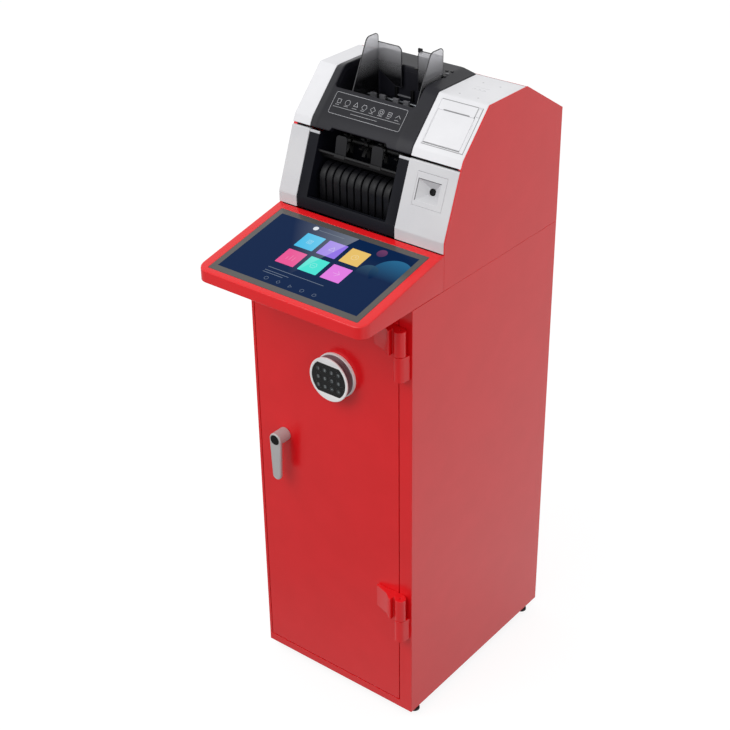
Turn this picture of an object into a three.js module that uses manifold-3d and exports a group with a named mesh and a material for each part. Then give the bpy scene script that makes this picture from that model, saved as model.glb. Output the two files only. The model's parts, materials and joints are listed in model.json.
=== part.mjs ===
// Cash deposit machine: a steel safe that carries a touchscreen console and a banknote counter head.
// Millimetres, +Z up, +X to the right as seen from the front, the front faces -Y.
// The origin is on the floor, under the middle of the machine's box.
import * as THREE from 'three';
import { mergeVertices } from 'three/addons/utils/BufferGeometryUtils.js';
import Module from 'manifold-3d';

const wasm = await Module();
wasm.setup();

// Overall sizes: across the head lie the left covers, the banknote counter and the right covers
const leftCoverWidth = 44.5;
const hoodWidth = 252;
const rightCoverWidth = 118.5;
const width = leftCoverWidth + hoodWidth + rightCoverWidth;
const depth = 504;
const safeHeight = 1011;
const footHeight = 22;
const rest = 0.3; // gap kept between pieces that touch
const overrun = 5; // how far a cutting tool runs past what it cuts
const sheet = 2; // sheet steel of the console and the head

// Safe body and door
const plate = 6;
const jambLeft = 6.5;
const jambRight = 32;
const sillHeight = 19;
const headerHeight = 19;
const doorGap = 2;
const doorThickness = 10;
const stopLip = 15;
const stopThickness = 5;

// Door hinges
const knuckleRadius = 12.5;
const knuckleHeight = 55;
const knuckleStandoff = 1.5;
const knuckleInset = 19.5; // from the machine's side to the hinge axis
const lowerSeamRise = 266.5;
const upperSeamDrop = 96.5; // from the safe's top
const hingeSeams = [lowerSeamRise, safeHeight - upperSeamDrop];
const hingePlay = 0.8;
const pinRadius = 5;
const pinLength = 40;
const greaseHoleRadius = 1.6;
const wedgeLength = 68;
const wedgeEnd = 8;
const wedgeKneeLength = 36;
const wedgeKneeHeight = 17;
const wedgeHeight = 29;
const wedgeFlat = 4;
const wedgeRight = 15;
const webHeight = 18;

// Handle, its spindle and the boltwork behind the door
const handleInset = 69; // from the door's free edge
const handleX = jambLeft + doorGap + handleInset - width / 2;
const handleAboveMiddle = 100.5;
const handleZ = safeHeight / 2 + handleAboveMiddle;
const hubRadius = 15.2;
const hubReach = 35;
const leverThickness = 9;
const leverLength = 90;
const leverTipRadius = 11;
const capRadius = 11.5;
const capThickness = 3;
const capProud = 0.4;
const spindleRadius = 7;
const spindleSeat = 7;
const pinionTeeth = 12;
const throwLength = 18;
const rackTeeth = 7;
const rackTeethLeft = 2; // teeth to the left of the one over the pinion
const gearWidth = 10;
const backlash = 0.5;
const boltRadius = 9;
const boltDepth = 27; // from the door's face back to the bolts' axes
const innerBolt = 100;
const outerBoltMargin = 235.5; // from half the safe's height
const outerBolt = safeHeight / 2 - outerBoltMargin;
const boltOffsets = [-outerBolt, -innerBolt, innerBolt, outerBolt];
const barWidth = 16;
const barOffset = 32;
const barMargin = 20;
const rackBack = 9;
const boltProud = 4;
const coverMargin = 30;
const boltworkDepth = 42;
const boltworkRight = 8;
const boltworkLeft = 10;
const boltClearance = 0.6;

// Keypad lock
const lockSpread = 148; // from the handle
const lockX = handleX + lockSpread;
const lockDrop = 206; // from the safe's top
const lockZ = safeHeight - lockDrop;
const lockRadius = 49;
const lockRingDepth = 6;
const waistRadius = 43.5;
const waistGroove = 1.8;
const waistGrooves = 3;
const waistDepth = 13;
const headDepth = 8.5;
const headRound = 2;
const headRoundShare = 0.3;
const padRadius = 43.5;
const padHalfHeight = 33.5;
const padThickness = 2;
const padRecess = 0.4;
const padHollow = 6;
const keySize = 13;
const keyCorner = 2.5;
const keyPitchX = 17.5;
const keyPitchZ = 19;
const keyColumns = 4;
const keyRows = 3;
const keyHeight = 4.9;
const keyProud = 0.4;
const cableHole = 4;
const lockCaseWidth = 80;
const lockCaseHeight = 62;
const lockCaseDepth = 24;

// Feet
const footInset = 17.5;
const footSetback = 35;
const footRadius = 12;
const padHeight = 7;
const collarRadius = 8.5;
const collarHeight = 6;
const stemRadius = 5;
const stemAbove = 14;

// Side profile of the head, measured back from the safe's front face and up from the safe's top
const housingFront = 100;
const kneeRise = 101;
const creaseBack = 158.6;
const lowerSlopeRise = 149.6;
const creaseRise = kneeRise + lowerSlopeRise;
const gapBack = 149.2;
const gapDrop = 19.9; // from the crease
const gapRise = creaseRise - gapDrop;
const shoulderBack = 240.3;
const upperSlopeRise = 84.7;
const topRise = creaseRise + upperSlopeRise;
const ridgeBack = 369.8;
const rearDrop = 82.6;
const rearRise = topRise - rearDrop;
const coverSheet = 3;
const coverFillet = 6;
const lidGap = 5;
const coverLip = 8;
const flangeWidth = 7;

// Hinge line of the tilting head along its ridge
const rodRadius = 1.5;
const ridgeKnuckle = 3;
const ridgeSeam = 4;
const rearKnuckleLength = 50;
const hoodKnuckleInset = 15;
const ridgeSetback = 8;
const rearStart = 6;

// Console and touchscreen
const consoleReach = 151;
const consoleFrontHeight = 26.4;
const consoleBackRise = 77.6;
const consoleCorner = 24;
const glassMargin = 21.8;
const glassWidth = width - 2 * glassMargin;
const glassHeight = 225;
const glassThickness = 3;
const glassCorner = 2;
const glassFrontMargin = 13;
const ledgeWidth = 7;
const moduleThickness = 12;
const moduleMargin = 10;

// Banknote counter
const counterCentre = leftCoverWidth + hoodWidth / 2 - width / 2;
const counterGap = 1.5;
const counterWidth = hoodWidth - 2 * counterGap;
const hoodLeftArm = 23;
const hoodRightArm = 32;
const hoodRise = 8;
const hoodEdgeRise = 1;
const hoodLeftSlope = 22;
const hoodRightSlope = 31;
const hoodRound = 30;
const hopperWidth = hoodWidth - hoodLeftArm - hoodRightArm;
const hopperCentre = counterCentre + (hoodLeftArm - hoodRightArm) / 2;
const notchLeftInset = 29;
const notchRightInset = 34;
const notchWidth = hopperWidth - notchLeftInset - notchRightInset;
const notchCentre = hopperCentre + (notchLeftInset - notchRightInset) / 2;
const notchHeight = 5;
const hopperFront = 207;
const hopperRear = 304;
const hopperDepth = 73.3;
const hopperFloorRise = topRise - hopperDepth;
const hopperFloorFront = 222;
const hopperLipShare = 0.2538; // of the way from the hopper's floor to its top
const tubSheet = 2;
const cheekWidth = 25;
const pocketWidth = counterWidth - 2 * cheekWidth;
const cheekDrop = 4.7; // from the gap between the covers
const cheekRise = gapRise - cheekDrop;
const frameSetback = 1.5;
const frameSheet = 3;
const sillRise = 105;
const frameRear = 250;
const frameFloorRise = 79;
const sillLedge = 12;

// Feed rollers and note guides in the hopper
const rollerRadius = 13;
const rollerWidth = 17;
const rollerShaft = 4;
const rollerBack = 257;
const rollerAboveFloor = 4;
const rollerRise = hopperFloorRise + rollerAboveFloor;
const rollerPairSpread = 27.5;
const rollerSpread = 10;
const rollerSlot = 3;
const rollerSideGap = 1;
const rollerSlotTop = 3;
const railRadius = 3;
const railBack = 290;
const railAboveFloor = 8;
const railRise = hopperFloorRise + railAboveFloor;
const guideSheet = 2;
const guideLeftInset = 35;
const guideRightInset = 3;
const guideLeftX = hopperCentre - hopperWidth / 2 + guideLeftInset;
const guideRightX = hopperCentre + hopperWidth / 2 - guideRightInset;
const guideProud = 64.7;
const guideTopRise = topRise + guideProud;
const guideBackDrop = 18;
const guideBackRise = guideTopRise - guideBackDrop;
const guideBackGap = 37;
const guideBackWidth = (guideRightX - guideLeftX - guideBackGap) / 2;
const guideNotchMargin = 16;
const guideNotchWidth = guideBackWidth - guideNotchMargin;
const guideTopFront = 262;
const guideFootFront = 214;
const guideFootAboveFloor = 38;
const guideFootRise = hopperFloorRise + guideFootAboveFloor;
const guideLowAboveFloor = 21;
const guideLowRise = hopperFloorRise + guideLowAboveFloor;
const guideLowFront = 224;
const guideCorner = 6;
const guideBackRear = 299;
const guideStagger = 3.5;
const guideWindowAboveFloor = 63;
const guideWindow = hopperFloorRise + guideWindowAboveFloor;
const guideBackFootAboveFloor = 35;
const guideBackFoot = hopperFloorRise + guideBackFootAboveFloor;
const sleeveRadius = 5.5;
const sleeveLength = 30;

// Output pocket: ribs, note stops and stacker wheels
const ribPitch = 18;
const ribMargin = 5;
const ribCount = Math.floor((pocketWidth - 2 * ribMargin) / ribPitch);
const ribWidth = 15;
const ribDepth = 5;
const ribSheet = 3;
const ribFront = 130.5;
const ribRadius = 30;
const ribTopDrop = 58; // from the cheeks' tops
const ribTopRise = cheekRise - ribTopDrop;
const ribTopBack = 166;
const stopShaftRadius = 3;
const stopBack = 146;
const stopDrop = 35; // from the cheeks' tops
const stopRise = cheekRise - stopDrop;
const stopTabWidth = 27.5;
const stopTabHeight = 41;
const stopTabThickness = 2.4;
const stopTabCorner = 7;
const stopLean = 11; // degrees
const stopSpread = 45;
const stopBoss = 4.5;
const wheelRadius = 27;
const wheelHub = 9;
const wheelWidth = 8;
const wheelFins = 8;
const finThickness = 2.4;
const wheelShaft = 4;
const wheelBack = 208;
const wheelBelowFloor = 62; // from the hopper's floor
const wheelRise = hopperFloorRise - wheelBelowFloor;
const wheelOffsets = [-66, -22, 22, 66];

// Receipt printer, measured in the plane of the upper slope
const printerOuterMargin = 9.5;
const printerInnerMargin = 13;
const printerWidth = rightCoverWidth - printerOuterMargin - printerInnerMargin;
const printerCentre = (width - printerWidth) / 2 - printerOuterMargin;
const upperSlopeLength = Math.hypot(shoulderBack - creaseBack, upperSlopeRise);
const printerFoot = 10.8; // up the slope from the crease to the printer
const printerHead = 9.88; // from the printer to the shoulder
const printerHeight = upperSlopeLength - printerFoot - printerHead;
const printerFaceSheet = 2;
const printerDepth = 56;
const printerWall = 2;
const printerBar = 22;
const printerColumn = 9;
const printerMargin = 1.5;
const printerSill = 3.7;
const printerDoorSheet = 3;
const printerDoorRoom = 0.9; // lets the door's lower edge turn
const paperSlotWidth = 58.7;
const paperSlotHeight = 2;
const buttonWidth = 7.5;
const buttonHeight = 17;
const buttonDepth = 4;
const buttonTravelRoom = 2;
const rollWidth = 57;
const rollRadius = 20;
const rollBore = 6;
const rollDepth = 30;
const rollDrop = 12;
const pegRadius = 5.5;
const pegReach = 6;
const screwHole = 1.4;
const screwSpreadX = 20;
const screwSpreadY = 36.6;
const screwShift = 2.7;
const screwCentreX = printerCentre - screwShift;
const screwCentreBack = 295.5;
const slotLength = 7;
const slotWidth = 1.6;
const slotPitch = 8;
const slotCount = 4;

// Code scanner, measured in the plane of the lower slope
const scannerShift = 0.25;
const scannerCentre = (width - rightCoverWidth) / 2 + scannerShift;
const scannerWidth = 70;
const lowerSlopeLength = Math.hypot(creaseBack - housingFront, lowerSlopeRise);
const scannerFoot = 54;
const scannerHead = 41.07; // from the scanner to the crease
const scannerHeight = lowerSlopeLength - scannerFoot - scannerHead;
const scannerSheet = 2;
const windowMarginX = 8.5;
const windowMarginY = 11.6;
const windowWidth = scannerWidth - 2 * windowMarginX;
const windowHeight = scannerHeight - 2 * windowMarginY;
const windowShift = 3.3;
const windowDrop = 1.6;
const recessDepth = 18;
const recessFloor = 12;
const scannerWall = 3;
const lensRadius = 5;
const lensThickness = 2;

// Rear panel
const ventColumns = 2;
const ventRows = 8;
const ventWidth = 60;
const ventHeight = 4;
const ventPitch = 10;
const ventRise = 130;
const ventSpread = 60;

// Deposit chute and cash bin inside the safe
const chuteMargin = 4.5;
const chuteWidth = pocketWidth - 2 * chuteMargin;
const chuteDepth = 56;
const chuteFront = 196;
const chuteDrop = 130;
const chuteFlange = 12;
const chuteEar = 3;
const chuteSlack = 1;
const binMargin = 23.25; // to each side of the door opening
const binWidth = width - jambLeft - jambRight - 2 * binMargin;
const binDepth = 370;
const binHeadroom = 151;
const binHeight = safeHeight - binHeadroom;
const binFront = 100;
const binSheet = 2.5;
const railHeight = 8;
const railWidth = 12;
const railInset = 25;
const railSpread = binWidth / 2 - railInset;

const ringSteps = 32;
const smallSteps = 16;
const filletSteps = 3;

// Turns a geometry into a solid: equal corners are joined, flat triangles dropped, faces turned out
function solid(geometry) {
  geometry.deleteAttribute('normal');
  geometry.deleteAttribute('uv');
  const merged = mergeVertices(geometry);
  const position = merged.attributes.position;
  const corners = merged.index.array;
  const triangles = [];
  let volume = 0;
  const [a, b, c] = [new THREE.Vector3(), new THREE.Vector3(), new THREE.Vector3()];
  for (let i = 0; i < corners.length; i += 3) {
    const [p, q, r] = corners.slice(i, i + 3);
    if (p === q || q === r || r === p) continue;
    triangles.push([p, q, r]);
    a.fromBufferAttribute(position, p);
    b.fromBufferAttribute(position, q);
    c.fromBufferAttribute(position, r);
    volume += a.dot(b.cross(c));
  }
  if (volume < 0) triangles.forEach((triangle) => triangle.reverse());
  const vertProperties = new Float32Array(position.array);
  const triVerts = new Uint32Array(triangles.flat());
  return new wasm.Manifold(new wasm.Mesh({ numProp: 3, vertProperties, triVerts }));
}

const join = (...solids) => solids.reduce((sum, next) => sum.add(next));
const cut = (base, ...tools) => tools.reduce((left, tool) => left.subtract(tool), base);
const placed = (geometry, matrix) => solid(geometry.applyMatrix4(matrix));

function piece(name, form, finish) {
  const mesh = form.getMesh();
  const geometry = new THREE.BufferGeometry();
  geometry.setAttribute('position', new THREE.BufferAttribute(mesh.vertProperties, 3));
  geometry.setIndex(new THREE.BufferAttribute(mesh.triVerts, 1));
  geometry.computeVertexNormals();
  const made = new THREE.Mesh(geometry, finish);
  made.name = name;
  return made;
}

function group(x, y, z, ...children) {
  const made = new THREE.Group();
  made.position.set(x, y, z);
  made.add(...children);
  return made;
}

// A block between two values on each axis
function block(x0, x1, y0, y1, z0, z1) {
  const geometry = new THREE.BoxGeometry(x1 - x0, y1 - y0, z1 - z0);
  return geometry.translate((x0 + x1) / 2, (y0 + y1) / 2, (z0 + z1) / 2);
}
const blockSolid = (...limits) => solid(block(...limits));

const shapeOf = (points) => new THREE.Shape(points.map(([u, v]) => new THREE.Vector2(u, v)));
const extruded = (points, length) =>
  new THREE.ExtrudeGeometry(shapeOf(points), { depth: length, bevelEnabled: false });

const [axisX, axisY, axisZ] = [
  new THREE.Vector3(1, 0, 0), new THREE.Vector3(0, 1, 0), new THREE.Vector3(0, 0, 1),
];
const alongX = new THREE.Matrix4().makeBasis(axisY, axisZ, axisX);
const alongBack = new THREE.Matrix4().makeBasis(axisX.clone().negate(), axisZ, axisY);

// Prisms: a (y, z) outline along X, an (x, z) outline along Y, an (x, y) outline along Z
const prismX = (points, x0, x1) => solid(extruded(points, x1 - x0).applyMatrix4(alongX).translate(x0, 0, 0));
const prismY = (points, y0, y1) =>
  solid(extruded(points.map(([x, z]) => [-x, z]), y1 - y0).applyMatrix4(alongBack).translate(0, y0, 0));
const prismZ = (points, z0, z1) => solid(extruded(points, z1 - z0).translate(0, 0, z0));

function circle(radius, steps, u = 0, v = 0) {
  return Array.from({ length: steps }, (_, i) => {
    const turn = (2 * Math.PI * i) / steps;
    return [u + radius * Math.cos(turn), v + radius * Math.sin(turn)];
  });
}
const rodX = (radius, x0, x1, y, z, steps = smallSteps) => prismX(circle(radius, steps, y, z), x0, x1);
const rodY = (radius, y0, y1, x, z, steps = smallSteps) => prismY(circle(radius, steps, x, z), y0, y1);
const rodZ = (radius, z0, z1, x, y, steps = smallSteps) => prismZ(circle(radius, steps, x, y), z0, z1);

// Points of a round corner of the given radius at b, on the way from a to c
function fillet(a, b, c, radius, steps = filletSteps) {
  const [pa, pb, pc] = [a, b, c].map(([u, v]) => new THREE.Vector2(u, v));
  const back = pa.clone().sub(pb).normalize();
  const on = pc.clone().sub(pb).normalize();
  const half = back.angleTo(on) / 2;
  const middle = back.clone().add(on).normalize().multiplyScalar(radius / Math.sin(half));
  const centre = pb.clone().add(middle);
  const start = pb.clone().addScaledVector(back, radius / Math.tan(half)).sub(centre);
  const end = pb.clone().addScaledVector(on, radius / Math.tan(half)).sub(centre);
  const sweep = Math.atan2(start.cross(end), start.dot(end));
  return Array.from({ length: steps + 1 }, (_, i) => {
    const point = start.clone().rotateAround(new THREE.Vector2(), (sweep * i) / steps).add(centre);
    return [point.x, point.y];
  });
}

function roundedBox(w, h, radius, u = 0, v = 0) {
  const corners = [[-w / 2, -h / 2], [w / 2, -h / 2], [w / 2, h / 2], [-w / 2, h / 2]];
  return corners
    .flatMap((corner, i) => fillet(corners[(i + 3) % 4], corner, corners[(i + 1) % 4], radius))
    .map(([x, y]) => [x + u, y + v]);
}
const rectangle = (u0, u1, v0, v1) => [[u0, v0], [u1, v0], [u1, v1], [u0, v1]];

// Moves an open path sideways: positive is to the left of the way it runs
function offset(path, distance) {
  const normals = path.slice(1).map(([u, v], i) => {
    const along = new THREE.Vector2(u - path[i][0], v - path[i][1]).normalize();
    return new THREE.Vector2(-along.y, along.x);
  });
  return path.map(([u, v], i) => {
    const before = normals[Math.max(i - 1, 0)];
    const after = normals[Math.min(i, normals.length - 1)];
    const mitre = before.clone().add(after).normalize();
    const reach = distance / mitre.dot(before);
    return [u + mitre.x * reach, v + mitre.y * reach];
  });
}

// A sheet whose outer face follows the path, with its thickness to the right of the way it runs
const band = (path, thickness) => [...path, ...offset(path, -thickness).reverse()];

// Joins outlines of equal length, each a { station, points } section, into one closed skin
function loft(sections, place) {
  const count = sections[0].points.length;
  const rings = sections.map(({ station, points }) => {
    const turned = THREE.ShapeUtils.area(points.map(([u, v]) => new THREE.Vector2(u, v))) < 0;
    return (turned ? [...points].reverse() : points).map(([u, v]) => place(u, v, station));
  });
  const flat = sections[0].points.map(([u, v]) => new THREE.Vector2(u, v));
  if (THREE.ShapeUtils.area(flat) < 0) flat.reverse();
  const cap = THREE.ShapeUtils.triangulateShape(flat, []);
  const last = (rings.length - 1) * count;
  const index = cap.flatMap(([a, b, c]) => [c, b, a, last + a, last + b, last + c]);
  for (let ring = 0; ring < rings.length - 1; ring += 1) {
    for (let i = 0; i < count; i += 1) {
      const [a, b] = [ring * count + i, ring * count + ((i + 1) % count)];
      index.push(a, b, b + count, a, b + count, a + count);
    }
  }
  const geometry = new THREE.BufferGeometry();
  geometry.setAttribute('position', new THREE.Float32BufferAttribute(rings.flat(2), 3));
  geometry.setIndex(index);
  return solid(geometry);
}

function lathe(profile, steps = ringSteps) {
  return new THREE.LatheGeometry(profile.map(([r, h]) => new THREE.Vector2(r, h)), steps);
}

const paint = (color, roughness, metalness) =>
  new THREE.MeshStandardMaterial({ color, roughness, metalness });
const redEnamel = paint('#c43036', 0.3, 0.1);
const whitePlastic = paint('#e6e6e6', 0.45, 0);
const blackPlastic = paint('#2e2d33', 0.4, 0);
const darkPlastic = paint('#17171a', 0.5, 0);
const smokedPlastic = paint('#55555a', 0.15, 0);
const screenGlass = paint('#1a2748', 0.1, 0);
const chrome = paint('#d8d8d8', 0.12, 1);
const silverPaint = paint('#c9c9c9', 0.35, 0.6);
const satinMetal = paint('#a3a3a3', 0.4, 0.8);
const zincSteel = paint('#8f9296', 0.45, 0.9);
const greyRubber = paint('#8a8a8c', 0.7, 0);
const whitePaper = paint('#f2f1ec', 0.9, 0);
const lensGlass = paint('#101014', 0.05, 0);

const half = width / 2;

// Safe: a welded box of plate with a thick front frame, a rebate for the door and a stop behind it
const openingLeft = -half + jambLeft;
const openingRight = half - jambRight;
const openingTop = safeHeight - headerHeight;
const stopFront = doorThickness + rest;
const frameDepth = stopFront + stopThickness;
const chuteX0 = counterCentre - chuteWidth / 2;
const chuteX1 = counterCentre + chuteWidth / 2;
const chuteRear = chuteFront + chuteDepth;
const footPlaces = [
  ['front_left', -half + footInset, footSetback],
  ['front_right', half - footInset, footSetback],
  ['rear_left', -half + footInset, depth - footSetback],
  ['rear_right', half - footInset, depth - footSetback],
];

function safeBody() {
  const shell = blockSolid(-half, half, 0, depth, 0, safeHeight);
  const cavity = blockSolid(
    -half + plate, half - plate, frameDepth, depth - plate, plate, safeHeight - plate,
  );
  const rebate = blockSolid(openingLeft, openingRight, -overrun, stopFront, sillHeight, openingTop);
  const doorway = blockSolid(
    openingLeft + stopLip, openingRight - stopLip, -overrun, frameDepth + overrun,
    sillHeight + stopLip, openingTop - stopLip,
  );
  const slot = blockSolid(
    chuteX0 - chuteSlack, chuteX1 + chuteSlack, chuteFront - chuteSlack, chuteRear + chuteSlack,
    safeHeight - plate - overrun, safeHeight + overrun,
  );
  const footHoles = footPlaces.map(([, x, y]) => rodZ(stemRadius + rest, -overrun, plate + overrun, x, y));
  const rails = [-railSpread, railSpread].map((x) => blockSolid(
    x - railWidth / 2, x + railWidth / 2, binFront - plate, depth - plate, plate / 2, plate + railHeight,
  ));
  return join(cut(shell, cavity, rebate, doorway, slot, ...footHoles), ...rails);
}

const doorLeft = openingLeft + doorGap;
const doorRight = openingRight - doorGap;

function safeDoor() {
  const slab = blockSolid(doorLeft, doorRight, 0, doorThickness, sillHeight + doorGap, openingTop - doorGap);
  return cut(
    slab,
    rodY(spindleRadius + rest, -overrun, doorThickness + overrun, handleX, handleZ),
    rodY(cableHole, -overrun, doorThickness + overrun, lockX, lockZ),
  );
}

// Hinge leaves around the hinge axis: the door leaf above the seam, the frame leaf and pin below it
const hingeX = half - knuckleInset;
const hingeY = -(knuckleRadius + knuckleStandoff);
const leafBack = -hingeY - rest;

function doorLeaf() {
  const face = -hingeY;
  const wedge = [
    [-wedgeLength, leafBack], [-wedgeLength, face - wedgeEnd], [-wedgeKneeLength, face - wedgeKneeHeight],
    [-wedgeRight - wedgeFlat, face - wedgeHeight], [-wedgeRight, face - wedgeHeight],
    [-wedgeRight, face - webHeight], [0, face - webHeight], [0, leafBack],
  ];
  const top = hingePlay / 2 + knuckleHeight;
  return cut(
    join(prismZ(wedge, hingePlay / 2, top), rodZ(knuckleRadius, hingePlay / 2, top, 0, 0, ringSteps)),
    rodZ(pinRadius + rest, 0, hingePlay / 2 + pinLength + rest, 0, 0),
    rodZ(greaseHoleRadius, 0, top + overrun, 0, 0),
  );
}

function frameLeaf() {
  const seat = [
    [-knuckleRadius, leafBack], [-knuckleRadius, 0], [knuckleRadius, 0],
    [knuckleRadius + wedgeFlat - knuckleStandoff, leafBack],
  ];
  const top = -hingePlay / 2;
  return join(
    prismZ(seat, top - knuckleHeight, top),
    rodZ(knuckleRadius, top - knuckleHeight, top, 0, 0, ringSteps),
    rodZ(pinRadius, top - knuckleHeight / 2, pinLength, 0, 0),
  );
}

// Lever handle: a hub with a tapering lever that hangs down, closed by a round cap
function leverOutline() {
  const lean = Math.asin((hubRadius - leverTipRadius) / leverLength);
  const arc = (radius, from, to, drop) => Array.from({ length: smallSteps / 2 + 1 }, (_, i) => {
    const turn = from + ((to - from) * i) / (smallSteps / 2);
    return [radius * Math.cos(turn), radius * Math.sin(turn) - drop];
  });
  return [
    ...arc(hubRadius, -lean, Math.PI + lean, 0),
    ...arc(leverTipRadius, Math.PI + lean, 2 * Math.PI - lean, leverLength),
  ];
}

function handleLever() {
  const lever = prismY(leverOutline(), -hubReach, -hubReach + leverThickness);
  const hub = rodY(hubRadius, -hubReach + rest, -rest, 0, 0, ringSteps);
  return cut(
    join(lever, hub),
    rodY(spindleRadius + rest, -hubReach + spindleSeat, overrun, 0, 0),
    rodY(capRadius + rest, -hubReach - overrun, -hubReach + capThickness, 0, 0, ringSteps),
  );
}
const handleCap = () =>
  rodY(capRadius, -hubReach - capProud, -hubReach + capThickness - rest, 0, 0, ringSteps);

// Pinion and rack: a quarter turn of the pinion moves the rack by the throw
const pitchRadius = throwLength / (Math.PI / 2);
const gearModule = (2 * pitchRadius) / pinionTeeth;
const toothPitch = Math.PI * gearModule;
const pressureAngle = THREE.MathUtils.degToRad(20);
const pinionAddendumShare = 0.8;
const rackAddendumShare = 0.65;
const dedendumShare = 1.1;
const gearFront = boltDepth - gearWidth / 2;

// Angle that an involute flank has turned through where it reaches the given radius
function involute(radius) {
  const base = pitchRadius * Math.cos(pressureAngle);
  const roll = Math.sqrt(Math.max((radius / base) ** 2 - 1, 0));
  return roll - Math.atan(roll);
}

function pinionOutline() {
  const tip = pitchRadius + pinionAddendumShare * gearModule;
  const root = pitchRadius - dedendumShare * gearModule;
  const base = pitchRadius * Math.cos(pressureAngle);
  const halfTooth = (Math.PI / 2) / pinionTeeth - backlash / 2 / pitchRadius;
  const flank = [root, base, pitchRadius, (pitchRadius + tip) / 2, tip].map((radius) => (
    { radius, turn: halfTooth + involute(pitchRadius) - involute(radius) }
  ));
  return Array.from({ length: pinionTeeth }, (_, tooth) => {
    const middle = ((tooth + 0.5) * 2 * Math.PI) / pinionTeeth;
    const right = flank.map(({ radius, turn }) => [radius, middle - turn]);
    const left = flank.map(({ radius, turn }) => [radius, middle + turn]).reverse();
    return [...right, ...left].map(([radius, turn]) => [radius * Math.cos(turn), radius * Math.sin(turn)]);
  }).flat();
}

function handleSpindle() {
  return join(
    rodY(spindleRadius, -hubReach + spindleSeat + rest, gearFront + gearWidth + rest, 0, 0),
    prismY(pinionOutline(), gearFront, gearFront + gearWidth),
  );
}

// Bolt bar, around the spindle's axis: an upright bar with a rack above the pinion and four bolts
const boltworkX0 = openingLeft + stopLip + boltworkLeft;
const boltTip = boltworkX0 - boltProud - handleX;

function rackOutline() {
  const [below, above] = [rackAddendumShare * gearModule, dedendumShare * gearModule];
  const halfTooth = toothPitch / 4 - backlash / 4;
  const slope = Math.tan(pressureAngle);
  const teeth = Array.from({ length: rackTeeth }, (_, i) => {
    const middle = (i - rackTeethLeft) * toothPitch;
    return [
      [middle - halfTooth - above * slope, pitchRadius + above],
      [middle - halfTooth + below * slope, pitchRadius - below],
      [middle + halfTooth - below * slope, pitchRadius - below],
      [middle + halfTooth + above * slope, pitchRadius + above],
    ];
  }).flat();
  const [left, right] = [teeth[0][0] - toothPitch / 4, barOffset + barWidth / 2];
  const top = pitchRadius + above + rackBack;
  return [[left, pitchRadius + above], ...teeth, [right, pitchRadius + above], [right, top], [left, top]];
}

function boltBar() {
  const reach = boltOffsets[boltOffsets.length - 1] + barMargin;
  const bar = blockSolid(barOffset, barOffset + barWidth, gearFront, gearFront + gearWidth, -reach, reach);
  const rack = prismY(rackOutline(), gearFront, gearFront + gearWidth);
  const bolts = boltOffsets.map((z) => rodX(boltRadius, boltTip, barOffset + barWidth / 2, boltDepth, z));
  return join(bar, rack, ...bolts);
}

// Tray-shaped cover over the boltwork, open towards the door, with a hole for each bolt
const boltworkX1 = openingRight - stopLip - boltworkRight;
const boltworkReach = boltOffsets[boltOffsets.length - 1] + coverMargin;
const boltworkFront = doorThickness + rest;

function boltworkCover() {
  const [z0, z1] = [handleZ - boltworkReach, handleZ + boltworkReach];
  const rear = boltworkFront + boltworkDepth;
  const shell = blockSolid(boltworkX0, boltworkX1, boltworkFront, rear, z0, z1);
  const inside = blockSolid(
    boltworkX0 + sheet, boltworkX1 - sheet, boltworkFront - overrun, rear - sheet, z0 + sheet, z1 - sheet,
  );
  const holes = boltOffsets.map((z) => rodX(
    boltRadius + boltClearance, boltworkX0 - overrun, boltworkX0 + overrun, boltDepth, handleZ + z,
  ));
  return cut(shell, inside, ...holes);
}

function lockCase() {
  return blockSolid(
    lockX - lockCaseWidth / 2, lockX + lockCaseWidth / 2, boltworkFront, boltworkFront + lockCaseDepth,
    lockZ - lockCaseHeight / 2, lockZ + lockCaseHeight / 2,
  );
}

// Keypad lock around its own axis: rear housing with a grooved waist, front disc, key plate, keys
const waistEnd = lockRingDepth + waistDepth;
const headFront = waistEnd + rest + headDepth;

function lockHousing() {
  const groove = waistDepth / (2 * waistGrooves + 1);
  const ridges = Array.from({ length: waistGrooves }, (_, i) => {
    const start = lockRingDepth + (2 * i + 1) * groove;
    const [high, low] = [waistRadius, waistRadius - waistGroove];
    return [[high, start], [low, start], [low, start + groove], [high, start + groove]];
  }).flat();
  const profile = [
    [cableHole, rest], [lockRadius, rest], [lockRadius, lockRingDepth], [waistRadius, lockRingDepth],
    ...ridges, [waistRadius, waistEnd], [cableHole, waistEnd], [cableHole, rest],
  ];
  return solid(lathe(profile).rotateX(Math.PI));
}

function padOutline(clearance) {
  const radius = padRadius - clearance;
  const height = padHalfHeight - clearance;
  const reach = Math.asin(height / radius);
  const side = Array.from({ length: smallSteps / 2 + 1 }, (_, i) => {
    const turn = -reach + (2 * reach * i) / (smallSteps / 2);
    return [radius * Math.cos(turn), radius * Math.sin(turn)];
  });
  return [...side, ...side.map(([x, z]) => [-x, -z])];
}

function lockHead() {
  const profile = [
    [0, waistEnd + rest], [lockRadius, waistEnd + rest], [lockRadius, headFront - headRound],
    [lockRadius - headRound * headRoundShare, headFront - headRound * headRoundShare],
    [lockRadius - headRound, headFront],
    [0, headFront],
  ];
  const disc = solid(lathe(profile).rotateX(Math.PI));
  return cut(disc, prismY(padOutline(0), -headFront - overrun, -headFront + padHollow));
}

const keyNames = Array.from({ length: keyColumns * keyRows }, (_, i) => `key_${i + 1}`);
const keyPlaces = keyNames.map((name, i) => {
  const [column, row] = [i % keyColumns, Math.floor(i / keyColumns)];
  return [name, (column - (keyColumns - 1) / 2) * keyPitchX, ((keyRows - 1) / 2 - row) * keyPitchZ];
});
const padFront = -headFront + padRecess;

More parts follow.
